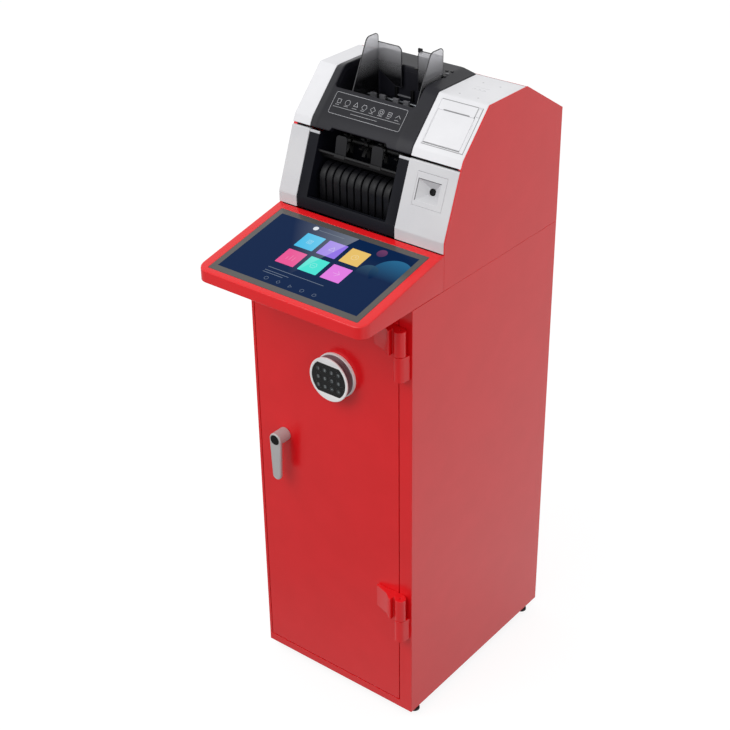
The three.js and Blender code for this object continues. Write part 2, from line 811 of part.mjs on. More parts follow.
function keypadPlate() {
  const windows = keyPlaces.map(([, x, z]) => prismY(
    roundedBox(keySize + 2 * rest, keySize + 2 * rest, keyCorner, x, z),
    padFront - overrun, padFront + padThickness + overrun,
  ));
  return cut(prismY(padOutline(rest), padFront, padFront + padThickness), ...windows);
}
const keyCap = () => prismY(roundedBox(keySize, keySize, keyCorner), padFront - keyProud,
  padFront - keyProud + keyHeight);

// Levelling foot: a round pad, a collar and a threaded stem through the safe's floor
function foot() {
  const profile = [
    [0, -footHeight], [footRadius, -footHeight], [footRadius, -footHeight + padHeight],
    [collarRadius, -footHeight + padHeight], [collarRadius, -footHeight + padHeight + collarHeight],
    [stemRadius, -footHeight + padHeight + collarHeight], [stemRadius, stemAbove], [0, stemAbove],
  ];
  return solid(lathe(profile, smallSteps).rotateX(Math.PI / 2));
}

// Head: everything above the safe's top follows this side profile, listed as (back, up)
const knee = [housingFront, kneeRise];
const gapPoint = [gapBack, gapRise];
const crease = [creaseBack, creaseRise];
const shoulder = [shoulderBack, topRise];
const ridge = [ridgeBack, topRise];
const rearShoulder = [depth, rearRise];
const along = (a, b, share) => a.map((value, i) => value + (b[i] - value) * share);
const span = (a, b) => Math.hypot(b[0] - a[0], b[1] - a[1]);
const fromStart = (a, b, length) => along(a, b, length / span(a, b));
const sideInside = half - sheet;

function sidePanel(side) {
  const outline = [
    [housingFront + rest, rest], knee, gapPoint, crease, shoulder, ridge, rearShoulder, [depth, rest],
  ];
  const front = [[housingFront, rest], knee, gapPoint, crease, shoulder, [ridgeBack - ridgeSetback, topRise]];
  const flange = band(offset(front, -coverSheet - rest), sheet);
  const lipNotch = blockSolid(
    -width, width, gapBack - overrun, gapBack + coverLip + rest, gapRise - coverSheet - rest, gapRise + rest,
  );
  const [inner, outer] = [sideInside - flangeWidth, half];
  const spans = side < 0 ? [[-outer, -sideInside], [-sideInside - sheet / 2, -inner]]
    : [[sideInside, outer], [inner, sideInside + sheet / 2]];
  return join(prismX(outline, ...spans[0]), cut(prismX(flange, ...spans[1]), lipNotch));
}

// Rear panel: slope and back in one bent sheet, with vents and the fixed knuckles of the ridge hinge
const rodBack = ridgeBack + rodRadius / 2;
const rodRise = topRise - ridgeKnuckle - rest;
const knuckleRow = (spans) => spans.map(([x0, x1]) => rodX(ridgeKnuckle, x0, x1, rodBack, rodRise));
const hoodLeft = counterCentre - hoodWidth / 2;
const hoodRight = counterCentre + hoodWidth / 2;
const sheetEdge = sideInside - rest;
const hoodKnuckle = [hoodLeft + hoodKnuckleInset, counterCentre];
const coverKnuckle = [hoodRight + ridgeSeam, sheetEdge - rearKnuckleLength - rest];
const rearKnuckles = [
  [-sheetEdge, hoodKnuckle[0] - rest], [hoodKnuckle[1] + rest, coverKnuckle[0] - rest],
  [coverKnuckle[1] + rest, sheetEdge],
];

function rearPanel() {
  const start = fromStart(ridge, rearShoulder, rearStart);
  const skin = prismX(band([start, rearShoulder, [depth, rest]], sheet), -sheetEdge, sheetEdge);
  const webs = rearKnuckles.map(([x0, x1]) => blockSolid(
    x0, x1, rodBack, start[0] + sheet, rodRise - ridgeKnuckle, rodRise - ridgeKnuckle + sheet,
  ));
  const webUps = rearKnuckles.map(([x0, x1]) => blockSolid(
    x0, x1, start[0], start[0] + sheet, rodRise - ridgeKnuckle, start[1] - sheet / 2,
  ));
  const vents = Array.from({ length: ventColumns * ventRows }, (_, i) => {
    const x = (i % ventColumns ? 1 : -1) * ventSpread;
    const z = ventRise + Math.floor(i / ventColumns) * ventPitch;
    return blockSolid(
      x - ventWidth / 2, x + ventWidth / 2, depth - overrun, depth + overrun,
      z - ventHeight / 2, z + ventHeight / 2,
    );
  });
  return cut(
    join(skin, ...knuckleRow(rearKnuckles), ...webs, ...webUps),
    ...vents,
    rodX(rodRadius + rest, -half, half, rodBack, rodRise),
  );
}
const lidHingeRod = () => rodX(rodRadius, -sheetEdge, sheetEdge, rodBack, rodRise);

// Knuckle of the moving part of the ridge hinge, with a web back to the cover that carries it
function lidKnuckle([x0, x1]) {
  const web = blockSolid(
    x0, x1, ridgeBack - ridgeSeam - sheet, rodBack, rodRise + ridgeKnuckle - sheet, rodRise + ridgeKnuckle,
  );
  return cut(
    join(rodX(ridgeKnuckle, x0, x1, rodBack, rodRise), web),
    rodX(rodRadius + rest, x0 - overrun, x1 + overrun, rodBack, rodRise),
  );
}

// White covers
const coverFoot = [housingFront, consoleBackRise + rest];
const lidStart = fromStart(gapPoint, crease, lidGap);
const lidEnd = [ridgeBack - ridgeSeam, topRise];
const lowerCover = (x0, x1) => prismX(
  band([coverFoot, knee, gapPoint, [gapBack + coverLip, gapRise]], coverSheet), x0, x1,
);
function upperCoverPath(round, steps) {
  return [lidStart, crease, ...fillet(crease, shoulder, ridge, round, steps), lidEnd];
}
const upperCover = (x0, x1) => prismX(band(upperCoverPath(coverFillet), coverSheet), x0, x1);

// The slopes' own frames: x across, y up the slope, z out of it
const slopeTurn = (a, b) => Math.atan2(b[1] - a[1], b[0] - a[0]);
const upperTurn = slopeTurn(crease, shoulder);
const lowerTurn = slopeTurn(knee, gapPoint);
const facetMatrix = (point, turn) => new THREE.Matrix4().makeRotationX(turn)
  .setPosition(0, point[0], point[1]);
const upperFacet = facetMatrix(crease, upperTurn);
const lowerFacet = facetMatrix(knee, lowerTurn);
const printerMiddle = printerFoot + printerHeight / 2;
const scannerMiddle = scannerFoot + scannerHeight / 2;

function rightLowerCover() {
  const [w, h] = [scannerWidth / 2, scannerHeight / 2];
  const opening = block(
    scannerCentre - w, scannerCentre + w, scannerMiddle - h, scannerMiddle + h, -overrun, overrun,
  );
  return cut(lowerCover(counterRight + rest, sheetEdge), placed(opening, lowerFacet));
}

function rightUpperCover() {
  const [w, h] = [printerWidth / 2, printerHeight / 2];
  const opening = block(
    printerCentre - w, printerCentre + w, printerMiddle - h, printerMiddle + h, -overrun, overrun,
  );
  const holes = [-1, 1].flatMap((i) => [-1, 1].map((j) => rodZ(
    screwHole, topRise - overrun, topRise + overrun,
    screwCentreX + i * screwSpreadX, screwCentreBack + j * screwSpreadY, smallSteps / 2,
  )));
  const slots = Array.from({ length: slotCount }, (_, i) => {
    const x = screwCentreX + (i - (slotCount - 1) / 2) * slotPitch;
    return blockSolid(
      x - slotWidth / 2, x + slotWidth / 2,
      screwCentreBack - slotLength / 2, screwCentreBack + slotLength / 2,
      topRise - overrun, topRise + overrun,
    );
  });
  return join(
    cut(upperCover(hoodRight + rest, sheetEdge), placed(opening, upperFacet), ...holes, ...slots),
    lidKnuckle(coverKnuckle),
  );
}

// Receipt printer around the middle of its face
function printerFace() {
  const [w, h] = [printerWidth / 2 - rest, printerHeight / 2 - rest];
  return { w, h, x0: -w + printerMargin, x1: w - printerColumn, y0: -h + printerSill, y1: h - printerBar };
}

function printerCase() {
  const { w, h, x0, x1, y0, y1 } = printerFace();
  const inset = 2 * printerWall;
  const body = join(
    blockSolid(-w, w, -h, h, -printerFaceSheet, 0),
    blockSolid(-w + inset, w - inset, -h + inset, h - inset, -printerDepth, 0),
  );
  const bay = blockSolid(
    x0 + inset, x1, y0 + inset, y1, -printerDepth + printerWall, overrun,
  );
  const mouth = blockSolid(x0, x1, y0, y1, -printerDoorSheet - rest, overrun);
  const slotMiddle = (x0 + x1) / 2;
  const slot = blockSolid(
    slotMiddle - paperSlotWidth / 2, slotMiddle + paperSlotWidth / 2, y1 - rest, y1 + paperSlotHeight,
    -printerDoorSheet - rest, overrun,
  );
  const [bx, by] = buttonPlace();
  const buttonWell = blockSolid(
    bx - buttonWidth / 2 - rest, bx + buttonWidth / 2 + rest, by - buttonHeight / 2 - rest,
    by + buttonHeight / 2 + rest, -buttonDepth - buttonTravelRoom, overrun,
  );
  const wellBack = blockSolid(
    bx - buttonWidth / 2 - sheet, w - rest, by - buttonHeight / 2 - sheet, by + buttonHeight / 2 + sheet,
    -buttonDepth - buttonTravelRoom - sheet, -rest,
  );
  const rollY = (y0 + y1) / 2 - rollDrop + printerSill;
  const rollEnds = [slotMiddle - rollWidth / 2, slotMiddle + rollWidth / 2];
  const pegs = [
    rodX(pegRadius, x0 + inset - rest, rollEnds[0] + pegReach, rollY, -rollDepth, smallSteps),
    rodX(pegRadius, rollEnds[1] - pegReach, x1 + rest, rollY, -rollDepth, smallSteps),
  ];
  return join(cut(join(body, wellBack), bay, mouth, slot, buttonWell), ...pegs);
}

const buttonPlace = () => {
  const { w, h } = printerFace();
  return [w - printerColumn / 2, h - printerBar / 2 + rest];
};

function printerDoor() {
  const { x0, x1, y0, y1 } = printerFace();
  return blockSolid(x0 + rest, x1 - rest, y0 + printerDoorRoom, y1 - rest, -printerDoorSheet, 0);
}

function printerButton() {
  const [w, h] = [buttonWidth / 2, buttonHeight / 2];
  return blockSolid(-w, w, -h, h, -buttonDepth, rest);
}

function paperRoll() {
  return cut(
    rodX(rollRadius, -rollWidth / 2, rollWidth / 2, 0, 0, ringSteps),
    rodX(rollBore, -rollWidth, rollWidth, 0, 0),
  );
}

// Code scanner: a flat face with a pyramid-shaped recess that narrows to the lens
const rectangleAt = (w, h, z, shift, drop) => (
  { station: z, points: rectangle(-w / 2 - shift, w / 2 - shift, -h / 2 - drop, h / 2 - drop) }
);
const plain = (u, v, s) => [u, v, s];

function scannerHousing() {
  const [w, h] = [scannerWidth / 2 - rest, scannerHeight / 2 - rest];
  const back = -recessDepth - lensThickness - scannerWall;
  const body = join(
    blockSolid(-w, w, -h, h, -scannerSheet, 0),
    blockSolid(
      -windowWidth / 2 - windowShift - scannerWall, windowWidth / 2 - windowShift + scannerWall,
      -windowHeight / 2 - windowDrop - scannerWall, windowHeight / 2 - windowDrop + scannerWall, back, 0,
    ),
  );
  const share = overrun / recessDepth;
  const flare = 1 + share;
  const recess = loft([
    rectangleAt(recessFloor, recessFloor, -recessDepth, windowShift, windowDrop),
    rectangleAt(
      recessFloor + (windowWidth - recessFloor) * flare, recessFloor + (windowHeight - recessFloor) * flare,
      overrun, windowShift, windowDrop,
    ),
  ], plain);
  const lensWell = rodZ(
    lensRadius + rest, -recessDepth - lensThickness - rest, -recessDepth + overrun, -windowShift, -windowDrop,
  );
  return cut(body, recess, lensWell);
}
const scannerLens = () => rodZ(
  lensRadius, -recessDepth - lensThickness, -recessDepth - rest, -windowShift, -windowDrop,
);

// Console: a wedge-shaped sheet tray, open at the back, with the touchscreen set in its sloping top
const consoleTurn = Math.atan2(consoleBackRise - consoleFrontHeight, consoleReach + housingFront);
const glassMiddle = glassFrontMargin + glassHeight / 2;
const deck = new THREE.Matrix4().makeRotationX(consoleTurn)
  .setPosition(0, -consoleReach, consoleFrontHeight);

function consolePlan(inset) {
  const [x, y, round] = [half - inset, -consoleReach + inset, consoleCorner - inset];
  const back = housingFront - rest + (inset > 0 ? overrun : 0);
  return [
    [-x, back], ...fillet([-x, back], [-x, y], [x, y], round),
    ...fillet([-x, y], [x, y], [x, back], round), [x, back],
  ];
}

function wedge(inset) {
  const slope = Math.tan(consoleTurn);
  const y1 = housingFront + overrun;
  const drop = inset / Math.cos(consoleTurn);
  const rise = (y) => consoleFrontHeight + (y + consoleReach) * slope - drop;
  const y0 = -consoleReach - overrun;
  const outline = [[y0, rest + inset], [y1, rest + inset], [y1, rise(y1)], [y0, rise(y0)]];
  const side = prismX(outline, -width, width);
  return side.intersect(prismZ(consolePlan(inset), -overrun, 2 * consoleBackRise));
}

function consoleTray() {
  const [w, h] = [glassWidth / 2, glassHeight / 2];
  const opening = block(
    -w - rest, w + rest, glassMiddle - h - rest, glassMiddle + h + rest, -glassThickness - rest, overrun,
  );
  const ledge = block(
    -w - ledgeWidth, w + ledgeWidth, glassMiddle - h - ledgeWidth, glassMiddle + h + ledgeWidth,
    -glassThickness - rest - sheet, -rest,
  );
  const hole = block(
    -w + ledgeWidth, w - ledgeWidth, glassMiddle - h + ledgeWidth, glassMiddle + h - ledgeWidth,
    -glassThickness - sheet - overrun, overrun,
  );
  return cut(
    join(cut(wedge(0), wedge(sheet)), placed(ledge, deck)),
    placed(opening, deck),
    placed(hole, deck),
  );
}
const displayGlass = () => prismZ(roundedBox(glassWidth, glassHeight, glassCorner), -glassThickness, 0);
function displayModule() {
  const [w, h] = [glassWidth / 2 - moduleMargin, glassHeight / 2 - moduleMargin];
  return blockSolid(-w, w, -h, h, -glassThickness - rest - moduleThickness, -glassThickness - rest);
}

// Counter hood: a moulded shell that stands proud of the covers and slopes down to them at its sides
const counterLeft = counterCentre - counterWidth / 2;
const counterRight = counterCentre + counterWidth / 2;
const across = (u, v, s) => [s, u, v];

function hoodSection(x, rise) {
  const round = fillet(crease, shoulder, ridge, hoodRound, 2 * filletSteps);
  const path = [lidStart, crease, ...round, lidEnd];
  const outer = offset(path, rise);
  return { station: x, points: [...outer, ...offset(path, -coverSheet).reverse()] };
}

function counterHood() {
  const shell = loft([
    hoodSection(hoodLeft, hoodEdgeRise), hoodSection(hoodLeft + hoodLeftSlope, hoodRise),
    hoodSection(hoodRight - hoodRightSlope, hoodRise), hoodSection(hoodRight, hoodEdgeRise),
  ], across);
  const [x0, x1] = [hopperCentre - hopperWidth / 2, hopperCentre + hopperWidth / 2];
  const mouth = blockSolid(x0, x1, hopperFront, hopperRear, creaseRise, topRise + 2 * hoodRise);
  const notch = blockSolid(
    notchCentre - notchWidth / 2, notchCentre + notchWidth / 2, housingFront, creaseBack + overrun,
    0, lidStart[1] + notchHeight,
  );
  return join(cut(shell, mouth, notch), lidKnuckle(hoodKnuckle));
}

// Lower counter frame: cheeks and sill in front, walls down to the safe's top, floor and back
const pocketX0 = counterCentre - pocketWidth / 2;
const pocketX1 = counterCentre + pocketWidth / 2;
const floorSlotMargin = 5;

function counterFrame() {
  const cheekTop = fromStart(knee, gapPoint, (cheekRise - kneeRise) / Math.sin(lowerTurn));
  const face = offset([[housingFront, frameFloorRise], knee, cheekTop], -frameSetback);
  const cheek = band(face, frameSheet);
  const sillTop = along(knee, gapPoint, (sillRise - kneeRise) / (gapRise - kneeRise));
  const sill = band(
    [...offset([[housingFront, frameFloorRise], knee, sillTop], -frameSetback),
      [sillTop[0] + sillLedge, sillRise - sheet]], frameSheet);
  const front = housingFront + frameSetback + frameSheet / 2;
  const wall = [
    [front, rest], [front, kneeRise], [cheekTop[0] + frameSheet, cheekRise - rest],
    [frameRear, cheekRise - rest], [frameRear, rest],
  ];
  const [x0, x1] = [pocketX0 - rest, pocketX1 + rest];
  const body = join(
    prismX(cheek, counterLeft, pocketX0),
    prismX(cheek, pocketX1, counterRight),
    prismX(sill, pocketX0 - frameSheet, pocketX1 + frameSheet),
    prismX(wall, pocketX0 - frameSheet, pocketX0),
    prismX(wall, pocketX1, pocketX1 + frameSheet),
    blockSolid(x0, x1, front, frameRear, frameFloorRise, frameFloorRise + frameSheet),
    blockSolid(x0, x1, frameRear - frameSheet, frameRear, frameFloorRise, cheekRise),
  );
  const slot = blockSolid(
    chuteX0 + floorSlotMargin, chuteX1 - floorSlotMargin, chuteFront + floorSlotMargin,
    frameRear - frameSheet, 0, frameFloorRise + frameSheet + overrun,
  );
  return cut(
    body, slot,
    rodX(stopShaftRadius + rest, -half, half, stopBack, stopRise),
    rodX(wheelShaft + rest, -half, half, wheelBack, wheelRise),
  );
}

// Rib comb: a curved apron with upright ribs, on the floor of the output pocket
function ribComb() {
  const floor = frameFloorRise + frameSheet + rest;
  const corner = [ribFront, ribTopRise];
  const bend = fillet([ribFront, floor], corner, [ribTopBack, ribTopRise], ribRadius, smallSteps / 2);
  const face = [[ribFront, floor], ...bend, [ribTopBack, ribTopRise]];
  const ribX = (i) => counterCentre + (i - (ribCount - 1) / 2) * ribPitch;
  const [x0, x1] = [ribX(0) - ribWidth / 2, ribX(ribCount - 1) + ribWidth / 2];
  const apron = prismX(band(offset(face, -ribDepth), ribSheet), x0, x1);
  const ribs = Array.from({ length: ribCount }, (_, i) => prismX(
    band(face, ribDepth + ribSheet / 2), ribX(i) - ribWidth / 2, ribX(i) + ribWidth / 2,
  ));
  return join(apron, ...ribs);
}

// Note stops: two tabs on one shaft between the walls of the counter frame, leaning back on it
function noteStops() {
  const shaft = rodX(
    stopShaftRadius, pocketX0 - frameSheet, pocketX1 + frameSheet, stopBack, stopRise,
  );
  const tab = [
    ...fillet([-stopTabWidth / 2, 0], [-stopTabWidth / 2, stopTabHeight], [stopTabWidth / 2, stopTabHeight],
      stopTabCorner),
    ...fillet([-stopTabWidth / 2, stopTabHeight], [stopTabWidth / 2, stopTabHeight], [stopTabWidth / 2, 0],
      stopTabCorner),
    [stopTabWidth / 2, 0], [-stopTabWidth / 2, 0],
  ];
  const tabs = [-stopSpread, stopSpread].flatMap((shift) => {
    const x = counterCentre + shift;
    const upright = prismY(tab, -stopTabThickness / 2, stopTabThickness / 2);
    return [
      upright.rotate([-stopLean, 0, 0]).translate([x, stopBack, stopRise]),
      rodX(stopBoss, x - stopTabWidth / 2, x + stopTabWidth / 2, stopBack, stopRise),
    ];
  });
  return join(shaft, ...tabs);
}

// Stacker wheels: finned wheels on a shaft behind the note stops
function stackerWheels() {
  const shaft = rodX(wheelShaft, pocketX0 - frameSheet, pocketX1 + frameSheet, 0, 0);
  const wheels = wheelOffsets.flatMap((shift) => {
    const [x0, x1] = [counterCentre + shift - wheelWidth / 2, counterCentre + shift + wheelWidth / 2];
    const fins = Array.from({ length: wheelFins }, (_, i) => placed(
      block(x0, x1, wheelHub / 2, wheelRadius, -finThickness / 2, finThickness / 2),
      new THREE.Matrix4().makeRotationX((2 * Math.PI * i) / wheelFins),
    ));
    return [rodX(wheelHub, x0, x1, 0, 0), ...fins];
  });
  return join(shaft, ...wheels);
}

// Hopper tub under the hood's opening, with slots in its floor for the feed rollers
const tubX0 = hopperCentre - hopperWidth / 2;
const tubX1 = hopperCentre + hopperWidth / 2;
const rollerOffsets = [-1, 1].flatMap((pair) => [-1, 1].map(
  (side) => pair * rollerPairSpread + side * rollerSpread,
));

function hopperTub() {
  const underside = offset(upperCoverPath(hoodRound, 2 * filletSteps), -coverSheet - rest);
  const [front, back] = [underside[0], underside[underside.length - 1]];
  const hoodAbove = prismX([...underside, [back[0], 2 * topRise], [front[0], 2 * topRise]], -half, half);
  const path = [
    [hopperRear, topRise], [hopperRear, hopperFloorRise], [hopperFloorFront, hopperFloorRise],
    [hopperFront, hopperFloorRise + hopperLipShare * (topRise - hopperFloorRise)], [hopperFront, topRise],
  ];
  const trough = prismX(band(path, -tubSheet), tubX0 - tubSheet, tubX1 + tubSheet);
  const ends = [[tubX0 - tubSheet, tubX0], [tubX1, tubX1 + tubSheet]].map(([x0, x1]) => prismX(path, x0, x1));
  const reach = rollerWidth / 2 + rollerSideGap;
  const slots = rollerOffsets.map((shift) => blockSolid(
    counterCentre + shift - reach, counterCentre + shift + reach,
    rollerBack - rollerRadius - rollerSlot, rollerBack + rollerRadius + rollerSlot,
    hopperFloorRise - overrun, hopperFloorRise + rollerSlotTop,
  ));
  return cut(
    join(trough, ...ends), hoodAbove, ...slots,
    rodX(rollerShaft + rest, -half, half, rollerBack, rollerRise),
    rodX(railRadius + rest, -half, half, railBack, railRise),
  );
}

function feedRollers() {
  const shaft = rodX(rollerShaft, tubX0 - tubSheet, tubX1 + tubSheet, 0, 0);
  const rollers = rollerOffsets.map((shift) => {
    const x = counterCentre + shift - rollerWidth / 2;
    return rodX(rollerRadius, x, x + rollerWidth, 0, 0, ringSteps);
  });
  return join(shaft, ...rollers);
}
const guideRail = () => rodX(railRadius, tubX0 - tubSheet, tubX1 + tubSheet, railBack, railRise);

// Note guide: a side plate along the notes' edge, a back plate behind them, a sleeve on the rail
function noteGuide(x, inwards, stagger) {
  const rear = guideBackRear + stagger;
  const [foot, top] = [[guideFootFront, guideFootRise], [guideTopFront, guideTopRise]];
  const side = [
    [guideLowFront, guideLowRise], foot,
    ...fillet(foot, top, [rear, guideTopRise], guideCorner),
    ...fillet(top, [rear, guideTopRise], [rear, guideBackRise], guideCorner),
    [rear, railRise - sleeveRadius / 2], [railBack - sleeveRadius / 2, railRise - sleeveRadius / 2],
    [railBack - sleeveRadius - guideSheet, guideLowRise],
  ];
  const plateX = [x, x + inwards * guideSheet].sort((a, b) => a - b);
  const backFoot = [guideBackWidth, guideBackFoot];
  const back = [
    [0, guideWindow], [guideNotchWidth, guideBackFoot], backFoot,
    ...fillet(backFoot, [guideBackWidth, guideBackRise], [0, guideBackRise], guideCorner),
    [0, guideBackRise],
  ].map(([u, v]) => [x + inwards * u, v]);
  const backPlate = prismY(back, rear - guideSheet, rear);
  const sleeve = [x, x + inwards * sleeveLength].sort((a, b) => a - b);
  return cut(
    join(prismX(side, ...plateX), backPlate, rodX(sleeveRadius, ...sleeve, railBack, railRise)),
    rodX(railRadius + rest, -half, half, railBack, railRise),
  );
}

// Deposit chute through the safe's top, and the open cash bin that stands on the rails below it
function depositChute() {
  const top = frameFloorRise - rest;
  const tube = blockSolid(chuteX0, chuteX1, chuteFront, chuteRear, -chuteDrop, top);
  const flange = blockSolid(
    chuteX0 - chuteEar, chuteX1 + chuteEar, chuteFront - chuteFlange, chuteRear + chuteFlange,
    rest, rest + sheet,
  );
  const passage = blockSolid(
    chuteX0 + sheet, chuteX1 - sheet, chuteFront + sheet, chuteRear - sheet,
    -chuteDrop - overrun, top + overrun,
  );
  return cut(join(tube, flange), passage);
}

function cashBin() {
  const floor = plate + railHeight + rest;
  const [x, y1] = [binWidth / 2, binFront + binDepth];
  return cut(
    blockSolid(-x, x, binFront, y1, floor, floor + binHeight),
    blockSolid(
      -x + binSheet, x - binSheet, binFront + binSheet, y1 - binSheet,
      floor + binSheet, floor + binHeight + overrun,
    ),
  );
}

// Assembly
const hinges = hingeSeams.map((seam, i) => {
  const place = ['lower', 'upper'][i];
  return group(
    hingeX, hingeY, seam,
    piece(`hinge_${place}_door_leaf`, doorLeaf(), redEnamel),
    piece(`hinge_${place}_frame_leaf`, frameLeaf(), redEnamel),
  );
});

const handle = group(
  handleX, 0, handleZ,
  piece('handle_lever', handleLever(), satinMetal),
  piece('handle_cap', handleCap(), darkPlastic),
  piece('handle_spindle', handleSpindle(), zincSteel),
  piece('bolt_bar', boltBar(), zincSteel),
);

const lock = group(
  lockX, 0, lockZ,
  piece('lock_housing', lockHousing(), chrome),
  piece('lock_head', lockHead(), silverPaint),
  piece('keypad_plate', keypadPlate(), darkPlastic),
  ...keyPlaces.map(([name, x, z]) => group(x, 0, z, piece(name, keyCap(), darkPlastic))),
);

const feet = footPlaces.map(([place, x, y]) => group(x, y, 0, piece(`foot_${place}`, foot(), darkPlastic)));

const upperSlope = new THREE.Group();
upperSlope.applyMatrix4(upperFacet);
const { x0: bayX0, x1: bayX1, y0: bayY0, y1: bayY1 } = printerFace();
upperSlope.add(group(
  printerCentre, printerMiddle, 0,
  piece('printer_case', printerCase(), whitePlastic),
  piece('printer_door', printerDoor(), whitePlastic),
  group(...buttonPlace(), 0, piece('printer_button', printerButton(), whitePlastic)),
  group(
    (bayX0 + bayX1) / 2, (bayY0 + bayY1) / 2 - rollDrop + printerSill, -rollDepth,
    piece('paper_roll', paperRoll(), whitePaper),
  ),
));

const lowerSlope = new THREE.Group();
lowerSlope.applyMatrix4(lowerFacet);
lowerSlope.add(group(
  scannerCentre, scannerMiddle, 0,
  piece('scanner_housing', scannerHousing(), whitePlastic),
  piece('scanner_lens', scannerLens(), lensGlass),
));

const consoleDeck = new THREE.Group();
consoleDeck.applyMatrix4(deck);
consoleDeck.add(group(
  0, glassMiddle, 0,
  piece('display_glass', displayGlass(), screenGlass),
  piece('display_module', displayModule(), zincSteel),
));

const head = group(
  0, 0, safeHeight,
  piece('console_tray', consoleTray(), redEnamel),
  consoleDeck,
  piece('side_panel_left', sidePanel(-1), redEnamel),
  piece('side_panel_right', sidePanel(1), redEnamel),
  piece('rear_panel', rearPanel(), redEnamel),
  piece('lid_hinge_rod', lidHingeRod(), zincSteel),
  piece('left_lower_cover', lowerCover(-sheetEdge, counterLeft - rest), whitePlastic),
  piece('right_lower_cover', rightLowerCover(), whitePlastic),
  piece('left_upper_cover', upperCover(-sheetEdge, hoodLeft - rest), whitePlastic),
  piece('right_upper_cover', rightUpperCover(), whitePlastic),
  piece('counter_hood', counterHood(), blackPlastic),
  piece('counter_frame', counterFrame(), blackPlastic),
  piece('rib_comb', ribComb(), darkPlastic),
  piece('note_stops', noteStops(), smokedPlastic),
  group(0, wheelBack, wheelRise, piece('stacker_wheels', stackerWheels(), greyRubber)),
  piece('hopper_tub', hopperTub(), darkPlastic),
  group(0, rollerBack, rollerRise, piece('feed_rollers', feedRollers(), greyRubber)),
  piece('guide_rail', guideRail(), zincSteel),
  piece('note_guide_left', noteGuide(guideLeftX, 1, 0), smokedPlastic),
  piece('note_guide_right', noteGuide(guideRightX, -1, guideStagger), smokedPlastic),
  piece('deposit_chute', depositChute(), zincSteel),
  upperSlope,
  lowerSlope,
);

const machine = group(
  0, -(depth - consoleReach) / 2, footHeight,
  piece('safe_body', safeBody(), redEnamel),
  piece('safe_door', safeDoor(), redEnamel),
  piece('boltwork_cover', boltworkCover(), zincSteel),
  piece('lock_case', lockCase(), zincSteel),
  piece('cash_bin', cashBin(), zincSteel),
  ...hinges,
  handle,
  lock,
  ...feet,
  head,
);

export default machine;
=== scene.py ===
import json
from math import cos, radians, sin, tan

import bmesh
import bpy
import numpy as np
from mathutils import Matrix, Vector

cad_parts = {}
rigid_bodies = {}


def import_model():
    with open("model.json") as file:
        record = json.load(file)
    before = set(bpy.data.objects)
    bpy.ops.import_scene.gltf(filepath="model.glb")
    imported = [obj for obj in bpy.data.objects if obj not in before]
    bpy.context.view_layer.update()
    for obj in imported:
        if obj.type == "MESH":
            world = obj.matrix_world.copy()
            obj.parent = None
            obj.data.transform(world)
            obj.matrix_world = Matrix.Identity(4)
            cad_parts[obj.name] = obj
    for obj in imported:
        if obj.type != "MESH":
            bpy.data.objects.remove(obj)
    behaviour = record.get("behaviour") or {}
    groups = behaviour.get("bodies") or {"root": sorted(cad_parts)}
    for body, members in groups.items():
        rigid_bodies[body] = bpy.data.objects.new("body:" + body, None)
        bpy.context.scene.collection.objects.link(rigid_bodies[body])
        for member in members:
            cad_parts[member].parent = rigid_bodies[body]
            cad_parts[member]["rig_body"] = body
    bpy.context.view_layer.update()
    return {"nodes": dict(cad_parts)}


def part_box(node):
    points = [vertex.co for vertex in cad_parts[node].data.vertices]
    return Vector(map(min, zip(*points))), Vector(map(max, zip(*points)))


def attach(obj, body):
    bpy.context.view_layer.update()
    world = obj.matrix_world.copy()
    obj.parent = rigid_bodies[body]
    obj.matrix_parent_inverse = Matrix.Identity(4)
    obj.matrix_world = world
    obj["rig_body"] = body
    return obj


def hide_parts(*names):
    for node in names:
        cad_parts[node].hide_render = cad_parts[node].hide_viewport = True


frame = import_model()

MM = 0.001  # sizes are in millimetres, and each function that makes a mesh turns them into metres


# Red enamel: gloss paint baked on sheet steel. Its colour shifts by a shade over a hand's width, and
# the sprayed film lies in faint waves, as orange peel.
def feed(tree, target, inputs):
    """Gives a node's input sockets, named or in order, their values or the output sockets to link."""
    for name, value in inputs.items() if isinstance(inputs, dict) else enumerate(inputs):
        if isinstance(value, bpy.types.NodeSocket):
            tree.links.new(value, target.inputs[name])
        else:
            target.inputs[name].default_value = value


def node(tree, kind, inputs=(), stops=(), **settings):
    """Adds a node with its own settings, feeds it and returns its outputs; stops are the positions and
    colours of a ramp. A range's inputs are a value, the two ends it lies between and their new values."""
    added = tree.nodes.new("ShaderNode" + kind)
    for name, value in settings.items():
        setattr(added, name, value)
    feed(tree, added, inputs)
    for i, (position, colour) in enumerate(stops):
        added.color_ramp.elements[i].position = position
        added.color_ramp.elements[i].color = linear(colour)
    return added.outputs


def linear(code):
    """A hex sRGB colour as linear values: ((s + 0.055) / 1.055) ** 2.4, or s / 12.92 where s is small."""
    shares = [int(code[i:i + 2], 16) / 255 for i in (1, 3, 5)]
    return [((s + 0.055) / 1.055) ** 2.4 if s > 0.04045 else s / 12.92 for s in shares] + [1.0]


def new_material(name):
    material = bpy.data.materials.new(name)
    material.use_nodes = True
    return material, material.node_tree, material.node_tree.nodes["Principled BSDF"]


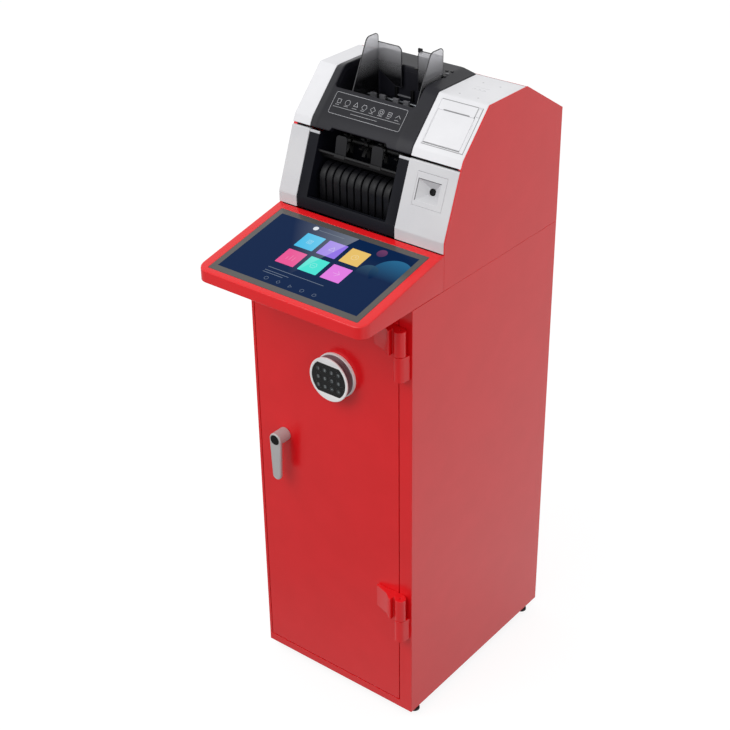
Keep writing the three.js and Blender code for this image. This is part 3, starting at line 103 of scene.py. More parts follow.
def finish(name, light, dark, roughness, specular=0.5, grain=0.6, relief=0.01, patch=80, spread=0.04,
           **sockets):
    """A finish of two close shades. Wide noise, a patch across, drifts between them; noise as fine as the
    grain moves the roughness by the spread either way and lifts the surface by the relief."""
    material, tree, shader = new_material(name)
    place = node(tree, "TexCoord")["Object"]
    wide = node(tree, "TexNoise", {"Vector": place, "Scale": 1 / (patch * MM), "Detail": 3.0})["Fac"]
    fine = node(tree, "TexNoise", {"Vector": place, "Scale": 1 / (grain * MM), "Detail": 2.0})["Fac"]
    feed(tree, shader, {
        "Base Color": node(tree, "ValToRGB", [wide], [(0.35, dark), (0.65, light)])["Color"],
        "Roughness": node(tree, "MapRange", [fine, 0.3, 0.7, roughness - spread, roughness + spread])[0],
        "Normal": node(tree, "Bump", {"Height": fine, "Distance": relief * MM, "Strength": 1.0})["Normal"],
        "Specular IOR Level": specular, **{name.replace("_", " "): sockets[name] for name in sockets}})
    return material


red_enamel = finish("red_enamel", "#e4141c", "#e01219", 0.24, 0.45, 2.5, 0.002, spread=0.02)


# Safe body and door: a welded steel box with a recessed front opening, and a 10 mm door set flush
# in it. Both are cut from plate, so each edge has a small ground round under the paint.
def ride_on(body, slot, *pieces):
    for piece in pieces:
        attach(piece, body)


def stand_for(piece, name, slot):
    """Lets a piece ride where a CAD node rides and hides the node. The slot is not used."""
    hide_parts(name)
    ride_on(frame["nodes"][name]["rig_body"], slot, piece)


def edit(mesh, *steps):
    form = bmesh.new()
    form.from_mesh(mesh)
    for step in steps:
        step(form)
    form.to_mesh(mesh)
    form.free()


def in_scene(name, mesh, material):
    mesh.materials.clear()
    mesh.materials.append(material)
    piece = bpy.data.objects.new(name, mesh)
    bpy.context.scene.collection.objects.link(piece)
    return piece


def soften(piece, edge, angle, clamp=False):
    """Rounds each edge that turns by more than the angle; the flat faces beside it stay shaded flat."""
    bevel = piece.modifiers.new("edge_rounds", "BEVEL")
    bevel.width = edge * MM
    bevel.segments = 2
    bevel.limit_method = "ANGLE"
    bevel.angle_limit = radians(angle)
    bevel.use_clamp_overlap = clamp
    piece.modifiers.new("flat_faces_first", "WEIGHTED_NORMAL").weight = 100


def rounded(name, edge, material, slot, whole=True):
    """A copy of a node's mesh with its triangles joined, its flat faces made whole if asked, and its
    edges rounded."""
    mesh = frame["nodes"][name].data.copy()
    mesh.name = name + "_finished"
    steps = [lambda form: bmesh.ops.remove_doubles(form, verts=form.verts, dist=0.01 * MM)]
    if whole:
        steps.append(lambda form: bmesh.ops.dissolve_limit(
            form, angle_limit=radians(0.5), verts=form.verts, edges=form.edges))
    edit(mesh, *steps)
    mesh.shade_smooth()
    piece = in_scene(name + "_finished", mesh, material)
    soften(piece, edge, 28)
    stand_for(piece, name, slot)
    return piece


rounded("safe_body", 0.8, red_enamel, "red_enamel")
rounded("safe_door", 1.2, red_enamel, "red_enamel")

# Hinges: two cast steel wedges, each a door leaf and a frame leaf round one pin, welded on and
# painted with the safe.
for leaf in ("lower_door_leaf", "lower_frame_leaf", "upper_door_leaf", "upper_frame_leaf"):
    rounded(f"hinge_{leaf}", 0.9, red_enamel, "red_enamel")

# Boltwork behind the door, the cash bin and the deposit chute: zinc-plated steel sheet, folded and
# riveted. The plating leaves a cool grey with soft spangles and a brushed bloom.
zinc_steel = finish("zinc_plated_steel", "#a3a7ab", "#8c9095", 0.38, grain=1.2, patch=12, spread=0.06,
                    Metallic=1.0)
for name in ("boltwork_cover", "lock_case", "handle_spindle", "bolt_bar", "deposit_chute", "cash_bin",
             "display_module", "lid_hinge_rod", "guide_rail"):
    rounded(name, 0.3, zinc_steel, "zinc_steel")


# Handle: a satin die-cast lever on a turned hub, closed by a black cap. The lever tapers to a round
# end, and its edges are well rounded, because a hand pulls on it.
def span(name):
    """A CAD node's lowest and highest corners, in millimetres."""
    return [Vector(corner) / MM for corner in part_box(name)]


def at(x, y, z):
    """Points from three coordinates, each an array or one number for all of them."""
    return np.stack(np.broadcast_arrays(x, y, z), -1)


def unit(rows):
    """Each row of numbers divided by its length."""
    return rows / np.linalg.norm(rows, axis=-1, keepdims=True)


def mesh_piece(name, points, faces, material):
    mesh = bpy.data.meshes.new(name)
    mesh.from_pydata((points.reshape(-1, 3) * MM).tolist(), [], faces)
    return in_scene(name, mesh, material)


def skin(name, rings, material, closed=False, smooth=35):
    """A mesh over rings of points. Four neighbours make a face, each ring closes on itself, and the ends
    are capped, or joined to each other where the form is closed."""
    rings = np.asarray(rings, float)
    rows, columns = rings.shape[:2]
    row, column = np.arange(rows if closed else rows - 1)[:, None], np.arange(columns)
    ahead, beside = (row + 1) % rows, (column + 1) % columns
    faces = np.stack([row * columns + column, row * columns + beside, ahead * columns + beside,
                      ahead * columns + column], -1).reshape(-1, 4).tolist()
    if not closed:
        faces += [list(range(columns))[::-1], list(range((rows - 1) * columns, rows * columns))]
    piece = mesh_piece(name, rings, faces, material)
    edit(piece.data, lambda form: bmesh.ops.recalc_face_normals(form, faces=form.faces))
    piece.data.shade_smooth()
    piece.data.set_sharp_from_angle(angle=radians(smooth))
    return piece


def round_edges(low, high, edge, steps=4):
    """Pairs of inset and height, from a plate's low face to its high one: near each face the outline draws
    in along a quarter circle of the edge's radius."""
    bend = np.linspace(0, np.pi / 2, steps + 1)
    return [*zip(edge * (1 - np.sin(bend)), low + edge * (1 - np.cos(bend))),
            *zip(edge * (1 - np.cos(bend)), high - edge * (1 - np.sin(bend)))]


def facing(x, z):
    """Turns (u, v, height) into a point whose u runs along X, v up, and height out of the safe's front."""
    return lambda u, v, w: at(x + u, safe_front - w, z + v)


def turned(name, profile, material, place, steps=64, closed=False, smooth=35):
    """A turned form: each (radius, height) of the profile becomes a circle, set by place as a plate is."""
    angle = np.linspace(0, 2 * np.pi, steps, endpoint=False)
    return skin(name, [place(r * np.cos(angle), r * np.sin(angle), h) for r, h in profile], material, closed,
                smooth)


satin_metal = finish("satin_cast_metal", "#bfbdbd", "#b7b5b5", 0.42, grain=0.8, relief=0.006, Metallic=0.2)
safe_front, safe_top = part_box("safe_door")[0].y / MM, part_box("safe_body")[1].z / MM
lever_low, lever_high = span("handle_lever")
hub_radius, hub_edge, tip_radius = 15.2, 0.8, 11
hub_z = lever_high.z - hub_radius
lever_reach = hub_z - lever_low.z - tip_radius
lever_round, lever_step, lever_thickness = 3, 0.5, 9
lever_front, hub_foot = safe_front - lever_low.y, safe_front - lever_high.y
lever_back = lever_front - lever_thickness
on_handle = facing((lever_low.x + lever_high.x) / 2, hub_z)


def lever_ring(inset, height):
    """An outline round two circles, hub above and tip below: each point lies at a circle's radius less the
    inset, and the circles meet where their common tangents leave them."""
    lean = np.arcsin((hub_radius - tip_radius) / lever_reach)
    top = np.linspace(-lean, np.pi + lean, 40)
    low = np.linspace(np.pi + lean, 2 * np.pi - lean, 40)
    hub, tip = hub_radius - inset, tip_radius - inset
    u = np.concatenate([hub * np.cos(top), tip * np.cos(low)])
    v = np.concatenate([hub * np.sin(top), tip * np.sin(low) - lever_reach])
    return on_handle(u, v, height)


lever = skin("lever_arm", [
    *[lever_ring(inset, height) for inset, height in round_edges(lever_back, lever_front, lever_round, 5)],
    lever_ring(lever_round + lever_step, lever_front - lever_step)], satin_metal, smooth=25)
stand_for(lever, "handle_lever", "satin_metal")
ride_on("handle", "satin_metal", turned("lever_hub", [
    (hub_radius - hub_edge, hub_foot), (hub_radius, hub_foot + hub_edge),
    (hub_radius, lever_back + lever_round)], satin_metal, on_handle))

cap_black = finish("cap_black_plastic", "#0c0c0d", "#09090a", 0.5, 0.15)
cap_low, cap_high = span("handle_cap")
cap_radius, cap_round, cap_top = (cap_high.x - cap_low.x) / 2, 0.6, safe_front - cap_low.y
cap = turned("lever_cap", [
    (cap_radius, safe_front - cap_high.y), (cap_radius, cap_top - cap_round),
    (cap_radius - cap_round, cap_top), (cap_round, cap_top)], cap_black, on_handle, smooth=25)
stand_for(cap, "handle_cap", "dark_plastic")

# Keypad lock: two silver-painted rings with a dark ribbed waist between them, and a black key plate let
# into the front one. The plate carries twelve rubber keys, ten of them printed with a plain digit.
silver_paint = finish("silver_paint", "#f4f5f5", "#ecedee", 0.3, grain=0.5, relief=0.004, Metallic=0.05,
                      Coat_Weight=0.2)
# The waist's dark grey is tinted mauve: a painted reflection of the red door in its metal.
waist_red_reflection_metal = finish("dark_ribbed_metal", "#776a70", "#6d6167", 0.34, grain=0.5, relief=0.006, Metallic=0.4)
housing_low, housing_high = span("lock_housing")
on_lock = facing(*((housing_low + housing_high) / 2).xz)
ring_radius = (housing_high.x - housing_low.x) / 2
ring_top, ring_round, rim_depth = 6, 1.2, 3.6
rear_ring = turned("lock_rear_ring", [
    (ring_radius, safe_front - housing_high.y), (ring_radius, ring_top - ring_round),
    (ring_radius - 0.3 * ring_round, ring_top - 0.3 * ring_round), (ring_radius - ring_round, ring_top),
    (ring_radius - 6 * ring_round, ring_top)], silver_paint, on_lock)
stand_for(rear_ring, "lock_housing", "chrome")
head_top = safe_front - span("lock_head")[0].y
waist_radius, waist_floor, rib_count = 46.5, 44.9, 4
rib_step = (head_top - rim_depth - ring_top) / rib_count
waist_profile = [(waist_floor, ring_top - ring_round)] + [
    (radius, ring_top + (i + share) * rib_step) for i in range(rib_count) for radius, share in
    ((waist_floor, 0.1), (waist_radius, 0.3), (waist_radius, 0.8), (waist_floor, 1.0))]
waist = turned("lock_ribbed_waist", waist_profile, waist_red_reflection_metal, on_lock, smooth=30)
ride_on("door", "chrome", waist)
plate_low, plate_high = span("keypad_plate")
plate_radius, plate_half = ((plate_high - plate_low) / 2).xz
angle = np.linspace(0, 2 * np.pi, 160, endpoint=False)
opening_gap, head_edge = 0.4, round_edges(0, head_top, ring_round)[5:]


def head_ring(share, radius, height):
    """A ring of the front disc: its radius passes by the share from the disc's to that of the key plate's
    opening, a circle cut off flat above and below."""
    opening = np.minimum(plate_radius, plate_half / np.maximum(np.abs(np.sin(angle)), 0.01))
    reach = (1 - share) * radius + share * (opening + opening_gap)
    return on_lock(reach * np.cos(angle), reach * np.sin(angle), height)


head = skin("lock_front_disc", [
    head_ring(0, waist_floor, head_top - rim_depth),
    head_ring(0, ring_radius - 0.5 * ring_round, head_top - rim_depth),
    head_ring(0, ring_radius, head_top - rim_depth + 0.5 * ring_round),
    *[head_ring(0, ring_radius - inset, height) for inset, height in head_edge],
    head_ring(0.9, ring_radius, head_top), head_ring(1, 0, head_top - 0.3), head_ring(1, 0, head_top - 2),
], silver_paint, smooth=40)
stand_for(head, "lock_head", "silver_paint")

key_plate = finish("key_plate_plastic", "#0f1011", "#0c0c0d", 0.42, 0.3)
rounded("keypad_plate", 0.25, key_plate, "dark_plastic")
key_rubber = finish("key_rubber", "#151617", "#111213", 0.5, 0.3, 0.5)
key_pad = finish("key_pad_grey", "#3c4143", "#363b3d", 0.5, 0.3, 0.5)
key_print = finish("key_print", "#a9aeb0", "#a2a7a9", 0.5, grain=0.5, relief=0)


def outline(corners, radius, inset=0.0, steps=8):
    """A closed outline with round corners, drawn in by the inset: each corner, listed anticlockwise, is an
    arc about a fixed centre whose radius is the corner's, less the inset (plus it on an inner corner)."""
    corner = np.array(corners, float)
    radius = np.maximum(np.broadcast_to(radius, len(corner)), inset + 0.05)[:, None]
    before, after = (unit(np.roll(corner, shift, 0) - corner) for shift in (1, -1))
    half = np.arccos(np.clip((before * after).sum(1), -1, 1))[:, None] / 2
    middle = unit(before + after)
    centre = corner + middle * radius / np.sin(half)
    outwards = np.sign(before[:, :1] * -after[:, 1:] + before[:, 1:] * after[:, :1])
    start = np.arctan2(-middle[:, 1:], -middle[:, :1]) - outwards * (np.pi / 2 - half)
    turn = start + outwards * (np.pi - 2 * half) * np.linspace(0, 1, steps + 1)
    reach = radius - outwards * inset
    points = np.stack([centre[:, :1] + reach * np.cos(turn), centre[:, 1:] + reach * np.sin(turn)], -1)
    return points.reshape(-1, 2)


def rectangle(x0, x1, y0, y1):
    return [(x0, y0), (x1, y0), (x1, y1), (x0, y1)]


def slab(name, corners, radius, low, high, edge, material, place, steps=8, turns=4):
    """A plate between two heights over an outline, with rounded edges. Place turns (u, v, height) into
    points of the row's frame."""
    return skin(name, [place(*outline(corners, radius, inset, steps).T, height)
                       for inset, height in round_edges(low, high, edge, turns)], material)


def bars(name, ends, width, low, high, material, place):
    """Straight flat bars, one for each row (u0, v0, u1, v1): a box round the line between its ends, with
    square ends half a width longer, from the low to the high height."""
    ends = np.array(ends, float).reshape(-1, 2, 2)
    run = unit(ends[:, 1] - ends[:, 0]) * width / 2
    side = np.stack([-run[:, 1], run[:, 0]], -1)
    first, last = ends[:, 0] - run, ends[:, 1] + run
    plan = np.stack([first - side, last - side, last + side, first + side], 1)[:, None]
    box = np.array([[3, 2, 1, 0], [4, 5, 6, 7], [0, 1, 5, 4], [1, 2, 6, 5], [2, 3, 7, 6], [3, 0, 4, 7]])
    faces = (box + 8 * np.arange(len(plan))[:, None, None]).reshape(-1, 4)
    points = place(plan[..., 0], plan[..., 1], np.array([low, high])[:, None])
    return mesh_piece(name, points, faces.tolist(), material)


def digit(number, height):
    """Rows of ends for a digit of straight strokes along two squares, one above the other. The strokes
    are top, middle, foot, the upper pair (a, b) and the lower pair (c, d); some are missing."""
    h, w = height / 2, height / 4
    strokes = {"t": (-w, h, w, h), "m": (-w, 0, w, 0), "f": (-w, -h, w, -h), "a": (-w, h, -w, 0),
               "b": (w, h, w, 0), "c": (-w, 0, -w, -h), "d": (w, 0, w, -h)}
    missing = ("m", "tmfac", "ad", "ac", "tfc", "bc", "b", "mfac", "", "c")[number]
    return [ends for name, ends in strokes.items() if name not in missing]


pad_radius, digit_height, print_width = 4.6, 5, 0.7
for i, number in enumerate([1, 2, 3, 4, 5, 6, 7, 8, 9, 0, None, None]):
    name = f"key_{i + 1}"
    low, high = span(name)
    place = facing(*((low + high) / 2).xz)
    half, foot, top = (high.x - low.x) / 2, safe_front - high.y, safe_front - low.y
    key = slab(f"key_cap_{i + 1}", rectangle(-half, half, -half, half), 2.5, foot, top, 0.8, key_rubber,
               place, 5)
    stand_for(key, name, "dark_plastic")
    pad = turned(f"key_pad_{i + 1}", [(pad_radius, top - 0.2), (pad_radius, top + 0.04)], key_pad, place, 32)
    marks = [(-pad_radius / 3, 0, pad_radius / 3, 0)] if number is None else digit(number, digit_height)
    printed = bars(f"key_print_{i + 1}", marks, print_width, top + 0.02, top + 0.08, key_print, place)
    ride_on(name, "dark_plastic", pad, printed)

# Levelling feet: a moulded pad with a plated lock nut, on a threaded stem that screws into the safe's
# floor plate.
dark_plastic = finish("dark_moulded_plastic", "#161618", "#121214", 0.45, 0.3, relief=0.02)
foot_radius, foot_top, nut_radius, nut_top, stem_radius = 12, 7, 8.5, 13, 5
hexagon = [(nut_radius * cos(radians(a)), nut_radius * sin(radians(a))) for a in range(0, 360, 60)]
for corner in ("front_left", "front_right", "rear_left", "rear_right"):
    low, high = span(f"foot_{corner}")
    x, y = ((low + high) / 2).xy
    upright = lambda u, v, w: at(x + u, y + v, w)
    foot = turned(f"foot_pad_{corner}", [
        (foot_radius - 1, 0), (foot_radius, 1), (foot_radius, foot_top - 2.5),
        (foot_radius - 0.7, foot_top - 0.7), (foot_radius - 2.5, foot_top)], dark_plastic, upright, 40)
    stand_for(foot, f"foot_{corner}", "dark_plastic")
    nut = slab(f"foot_nut_{corner}", hexagon, 1, foot_top - 0.2, nut_top, 0.6, zinc_steel, upright, 3, 2)
    stem = turned(f"foot_stem_{corner}", [
        (stem_radius, foot_top), (stem_radius, high.z - 1), (stem_radius - 1, high.z)], zinc_steel, upright,
        32)
    ride_on(f"foot_{corner}", "zinc_steel", nut, stem)


# Console: one red sheet-steel tray whose walls turn over into a sloping deck by a small radius, with
# large corner rounds at its front. A ledge round the opening carries the touchscreen's cover glass.
def on_slope(back, rise, turn):
    """Turns (u, v, height) into a point of a plane through (back, rise), measured from the safe's front
    and top, that climbs backwards by the turn: v runs up the slope and height stands out of it."""
    y, z = safe_front + back, safe_top + rise
    return lambda u, v, w: at(u, y + v * cos(turn) - w * sin(turn), z + v * sin(turn) + w * cos(turn))


tray_low, tray_high = span("console_tray")
front_height, console_corner, console_round = 26.4, 24, 3
deck_turn = np.arctan2(tray_high.z - safe_top - front_height, tray_high.y - tray_low.y)
deck = on_slope(tray_low.y - safe_front, front_height, deck_turn)
console_plan = rectangle(tray_low.x, tray_high.x, tray_low.y, tray_high.y)
glass_width, glass_height, glass_thickness, glass_front, glass_gap = 371.4, 225, 3, 13, 0.4
glass_corners = rectangle(-glass_width / 2, glass_width / 2, glass_front, glass_front + glass_height)


def tray_ring(inset, drop, floor=None):
    """The console's plan drawn in by the inset, each point a drop below the deck or on a flat floor."""
    x, y = outline(console_plan, [console_corner, console_corner, 0.5, 0.5], inset, 10).T
    deck_height = safe_top + front_height + (y - tray_low.y) * tan(deck_turn)
    return at(x, y, deck_height - drop if floor is None else floor)


def opening_ring(outset, depth, radius=2):
    return deck(*outline(glass_corners, radius, -outset, 10).T, -depth)


ledge, ledge_top, ledge_foot, console_wall = 7, glass_thickness + 0.3, glass_thickness + 2.3, 2.2
tray = skin("console_shell", [
    tray_ring(1, 0, tray_low.z), tray_ring(0, 0, tray_low.z + 1),
    *[tray_ring(inset, -height) for inset, height in round_edges(0, 0, console_round, 6)[7:]],
    opening_ring(glass_gap + 0.4, 0), opening_ring(glass_gap, 0.4), opening_ring(glass_gap, ledge_top),
    opening_ring(-ledge, ledge_top, 0.5), opening_ring(-ledge, ledge_foot, 0.5),
    opening_ring(ledge, ledge_foot), tray_ring(console_wall, console_round + 2),
    tray_ring(console_wall, 0, tray_low.z + 2)], red_enamel, smooth=40)
stand_for(tray, "console_tray", "red_enamel")

# Touchscreen: a sheet of toughened glass, printed grey-brown round its edge from behind, over a lit
# display. It is etched against glare, so it mirrors softly. Its picture is a plain made-up menu. A pale
# slanting beam across it is a painted reflection of glare on the glass, drawn into the picture's light.
cover_glass = finish("printed_cover_glass", "#575452", "#52504e", 0.18, 0.3, 0.7, 0, spread=0.02)
glass = slab("touchscreen_glass", glass_corners, 2, -glass_thickness, 0, 0.4, cover_glass, deck)
stand_for(glass, "display_glass", "screen_glass")
screen_half, screen_front, screen_rear, layer = 172.5, 27.6, 223.5, 0.06
# Where the painted glare lies on the picture: its slant, its edge, the tip and root of its length, and its
# widest fade.
glare_lean, glare_edge, glare_tip, glare_root, glare_width = 0.347, 64.4 * MM, -262 * MM, -96 * MM, 180 * MM


def moved(place, du, dv=0.0):
    """The same plane with its origin moved along it."""
    return lambda u, v, w: place(u + du, v + dv, w)


def lit(name, colour, glare_shade, strength=0.9):
    """A lit part of the picture: its own light, from the colour to the glare shade where a painted glare
    lies, a reflection on the glass drawn into the picture. The glare is fullest along a line
    x = edge + lean * y; to the line's left it fades over a width that narrows from the root to the tip."""
    material, tree, shader = new_material(name)
    place = node(tree, "TexCoord")["Object"]
    x, y = node(tree, "SeparateXYZ", [place])[:2]
    across = node(tree, "Math", [y, -glare_lean, x], operation="MULTIPLY_ADD")[0]
    aside = node(tree, "Math", [glare_edge, across], operation="SUBTRACT")[0]
    inside = node(tree, "Math", [aside, 0.0], operation="GREATER_THAN")[0]
    width = node(tree, "MapRange", [y, glare_tip, glare_root, 2 * MM, glare_width])[0]
    fade = node(tree, "Math", [aside, width], operation="DIVIDE")[0]
    share = node(tree, "MapRange", [fade, 0.0, 1.0, 1.0, 0.0])[0]
    for part in (inside, node(tree, "MapRange", [y, glare_tip, glare_root])[0]):
        share = node(tree, "Math", [share, part], operation="MULTIPLY")[0]
    # The display's dots are far finer than this; the etched face scatters over about half a millimetre.
    etched = node(tree, "TexNoise", {"Vector": place, "Scale": 1 / (0.5 * MM)})["Fac"]
    feed(tree, shader, {
        "Base Color": linear("#08080a"), "Specular IOR Level": 0.03, "Emission Strength": strength,
        "Roughness": node(tree, "MapRange", [etched, 0.0, 1.0, 0.12, 0.2])[0],
        "Emission Color": node(tree, "ValToRGB", [share], [(0.0, colour), (1.0, glare_shade)])["Color"]})
    return material


def polygon(radius, sides=16, first=0.0, u=0.0, v=0.0):
    """Rows of ends for the sides of a regular polygon, or of a circle when it has many."""
    angle = first + np.linspace(0, 2 * np.pi, sides + 1)
    points = np.column_stack([u + radius * np.cos(angle), v + radius * np.sin(angle)])
    return np.hstack([points[:-1], points[1:]]).tolist()


# The navy ground turns grey-blue where the painted glare lies.
picture = slab("screen_picture", rectangle(-screen_half, screen_half, screen_front, screen_rear), 0.5,
               layer / 2, layer, layer / 8, lit("picture_navy", "#04244d", "#7c8391"), deck, 2, 1)
ride_on("machine", "screen_glass", picture)

tile_half, pitch_u, pitch_v, tiles_v, r = 23, 56.5, 58, 142, 7.5
tiles = {  # colour, its paler shade under the painted glare, column, row, and the lines of its sign
    "sky": ("#3dc4f4", "#9be2fb", -1, 1, polygon(r, 4, np.pi / 4) + polygon(r / 2, 4, np.pi / 4)),
    "violet": ("#9a7af2", "#c6b4f9", 0, 1, polygon(r, 3, np.pi / 2)),
    "amber": ("#f3ca70", "#f9e4b4", 1, 1, polygon(r) + [(0, 0, 0, r * 0.6), (0, 0, r * 0.5, 0)]),
    "rose": ("#f55c9e", "#fb9fc8", -1, 0, [(-r, -r, -r, 0), (0, -r, 0, r), (r, -r, r, r / 2)]),
    "mint": ("#4feede", "#a9fbf2", 0, 0, polygon(r, 6) + [(-r / 2, 0, r / 2, 0)]),
    "lilac": ("#ec83ec", "#f8bff8", 1, 0, [(-r, 0, r, 0), (0, -r, r, 0), (0, r, r, 0)]),
}
for name, (colour, glare_shade, column, row, lines) in tiles.items():
    u, v = column * pitch_u, tiles_v + (row - 0.5) * pitch_v
    corners = rectangle(u - tile_half, u + tile_half, v - tile_half, v + tile_half)
    tile = slab(f"screen_tile_{name}", corners, 1.5, layer, 2 * layer, layer / 8,
                lit(f"picture_{name}", colour, glare_shade), deck, 3, 1)
    icon = bars(f"screen_icon_{name}", lines, 0.8, 2 * layer, 3 * layer,
                lit(f"picture_{name}_line", glare_shade, "#f4f6fa"), moved(deck, u, v))
    ride_on("machine", "screen_glass", tile, icon)

soft_line = lit("picture_soft_line", "#8fa0b8", "#aab4c2", 0.55)
text_rows = [(-78, 71, 58, 71), (-78, 60.5, -20, 60.5), (-78, 54.5, -30, 54.5), (-64, 211, -2, 211)]
marks = sum([polygon(4.4, sides, 0.0, u, 40) for u, sides in
             ((-58, 12), (-28, 4), (1, 3), (31, 6), (61, 5))], [])
for name, lines, width in (("text_bars", text_rows, 1.4), ("menu_marks", marks, 0.8)):
    printed = bars(f"screen_{name}", lines, width, layer, 2 * layer, soft_line, deck)
    ride_on("machine", "screen_glass", printed)
home_dot = turned("screen_home_dot", [(6, layer), (6, 2 * layer)],
                  lit("picture_white", "#e9eef6", "#f6f8fb"), moved(deck, -75, 213), 40)
ride_on("machine", "screen_glass", home_dot)

for name, u, v, radius, colour, fade in (
        ("plum", 96, 206, 11, "#76406c", 40), ("teal", 150, 160, 42, "#2b6f9a", 66),
        ("dusk", 106, 144, 23, "#31556f", 34)):
    # A disc cut off at the screen's right edge, whose light fades down into the navy ground.
    fading = lit(f"picture_{name}", colour, colour)
    tree = fading.node_tree
    y = node(tree, "SeparateXYZ", [node(tree, "TexCoord")["Object"]])["Y"]
    ends = [deck(0, height, 0)[1] * MM for height in (v + radius - fade, v + radius)]
    rise = node(tree, "MapRange", [y, *ends])[0]
    tint = node(tree, "ValToRGB", [rise], [(0.0, "#04244d"), (1.0, colour)])["Color"]
    feed(tree, tree.nodes["Principled BSDF"], {"Emission Color": tint})
    cut = np.arccos(np.clip((screen_half - u) / radius, -1, 1))
    angle = np.linspace(cut, 2 * np.pi - cut, 64)
    spot = skin(f"screen_disc_{name}", [
        deck(u + radius * np.cos(angle), v + radius * np.sin(angle), height)
        for height in (layer, 1.5 * layer)], fading)
    ride_on("machine", "screen_glass", spot)

# Side and rear panels: bent sheet steel. The right panel's edge shows as a line along the covers; the
# left covers wrap over the left panel's edge, so that panel stops a cover's thickness lower.
rounded("side_panel_right", 0.5, red_enamel, "red_enamel")
rear_panel = rounded("rear_panel", 0.5, red_enamel, "red_enamel")
rear_cut = (0, 0, (safe_top + 333) * MM)
edit(rear_panel.data,
     lambda form: bmesh.ops.bisect_plane(form, geom=form.verts[:] + form.edges[:] + form.faces[:],
                                         plane_co=rear_cut, plane_no=(0, 0, 1), clear_outer=True),
     lambda form: bmesh.ops.holes_fill(form, edges=[edge for edge in form.edges if edge.is_boundary]))
panel_low, panel_high = span("side_panel_left")
panel_wall, panel_round = 2, 0.6
panel_profile = [(100, 0.3), (504, 0.3), (504, 252.7), (375.2, 332), (241.6, 332), (161.3, 248.7),
                 (152.2, 229.4), (103.3, 100.4), (103.3, 77), (100, 77)]


def panel_ring(inset, x):
    y, z = outline(panel_profile, 0.8, inset, 3).T
    return at(x, safe_front + y, safe_top + z)


left_panel = skin("left_panel_pan", [
    panel_ring(panel_wall, panel_low.x + panel_wall), panel_ring(panel_wall, panel_high.x),
    panel_ring(0, panel_high.x), panel_ring(0, panel_low.x + panel_round),
    panel_ring(panel_round, panel_low.x)], red_enamel, smooth=40)
stand_for(left_panel, "side_panel_left", "red_enamel")


# Covers of the head: white moulded shells 3 mm thick, clipped between the side panels. Their surface
# has a fine spark-eroded grain that keeps them satin. The lower ones roll over into a flange at the top.
def bent_line(points, reaches):
    """Points of an open line that turns each inner corner along a parabola, which touches both straights at
    its reach from the corner; a corner without a reach stays a point."""
    points = np.array(points, float)
    share = np.linspace(0, 1, 7)[:, None]
    line = [points[:1]]
    for before, corner, after, reach in zip(points, points[1:], points[2:], reaches):
        start, end = corner + unit(before - corner) * reach, corner + unit(after - corner) * reach
        curve = (1 - share) ** 2 * start + 2 * share * (1 - share) * corner + share ** 2 * end
        line.append(curve if reach else corner[None])
    return np.vstack(line + [points[-1:]])


def sheet(name, stations, line, material, holes=()):
    """A bent sheet: each station across X carries the line's (y, z) points, and four neighbours make a face,
    but for those whose middle lies in a hole (x0, x1, y0, y1). Solidify thickens it inwards."""
    x, step = np.meshgrid(stations, np.arange(len(line)))
    y, z = line[step, 0], line[step, 1]
    index = np.arange(x.size).reshape(x.shape)
    faces = np.stack([index[:-1, :-1], index[:-1, 1:], index[1:, 1:], index[1:, :-1]], -1)
    middle_x, middle_y = (x[:-1, :-1] + x[:-1, 1:]) / 2, (y[:-1, :-1] + y[1:, :-1]) / 2
    kept = np.ones(middle_x.shape, bool)
    for x0, x1, y0, y1 in holes:
        kept &= ~((middle_x > x0) & (middle_x < x1) & (middle_y > y0) & (middle_y < y1))
    piece = mesh_piece(name, at(x, safe_front + y, safe_top + z), faces[kept].tolist(), material)
    edit(piece.data, lambda form: bmesh.ops.delete(
        form, geom=[vert for vert in form.verts if not vert.link_faces], context="VERTS"))
    piece.data.shade_smooth()
    thick = piece.modifiers.new("thickness", "SOLIDIFY")
    thick.thickness = cover_thickness * MM
    thick.offset = -1
    thick.use_even_offset = True
    soften(piece, cover_edge, 50, clamp=True)
    return piece


def along(origin, turn, length):
    """The (y, z) point at a length up a slope that starts at the origin and climbs by the turn."""
    return [origin[0] + length * cos(turn), origin[1] + length * sin(turn)]


# The head's outline from the side, in distances behind the safe's front and above its top.
knee, gap_point, crease, shoulder, ridge = np.array(
    [(100, 101), (149.2, 230.7), (158.6, 250.6), (240.3, 335.3), (369.8, 335.3)])
lid_end = ridge - [4, 0]
upper_turn, lower_turn = (np.arctan2(*(end - start)[::-1]) for start, end in
                          ((crease, shoulder), (knee, gap_point)))
cover_thickness, cover_edge, flange_depth, gap_share = 3, 0.7, 9, 0.21
cover_left, cover_right = -207.5, span("right_upper_cover")[1].x
white_plastic = finish("white_moulded_plastic", "#e4e4e7", "#dfdfe2", 0.42, 0.4, 0.8, 0.006)
# The lower covers and the scanner housing take a greyer copy of the same white plastic: painted shade, for
# the light they lose facing further down than the upper covers.
shaded_white = finish("greyer_white_plastic", "#d0d0d2", "#cbcbce", 0.42, 0.4, 0.8, 0.006)
lower_foot = [knee[0], span("left_lower_cover")[0].z - safe_top]
flange_end = along(gap_point, lower_turn - np.pi / 2, flange_depth)
upper_start = gap_point + (crease - gap_point) * gap_share
left_lower = sheet("left_lower_cover_shell", [cover_left, span("left_lower_cover")[1].x],
                   bent_line([lower_foot, knee, gap_point, flange_end], [2, 4]), shaded_white)
left_upper = sheet("left_upper_cover_shell", [cover_left, span("left_upper_cover")[1].x],
                   bent_line([upper_start, crease, shoulder, lid_end], [2, 3]), white_plastic)

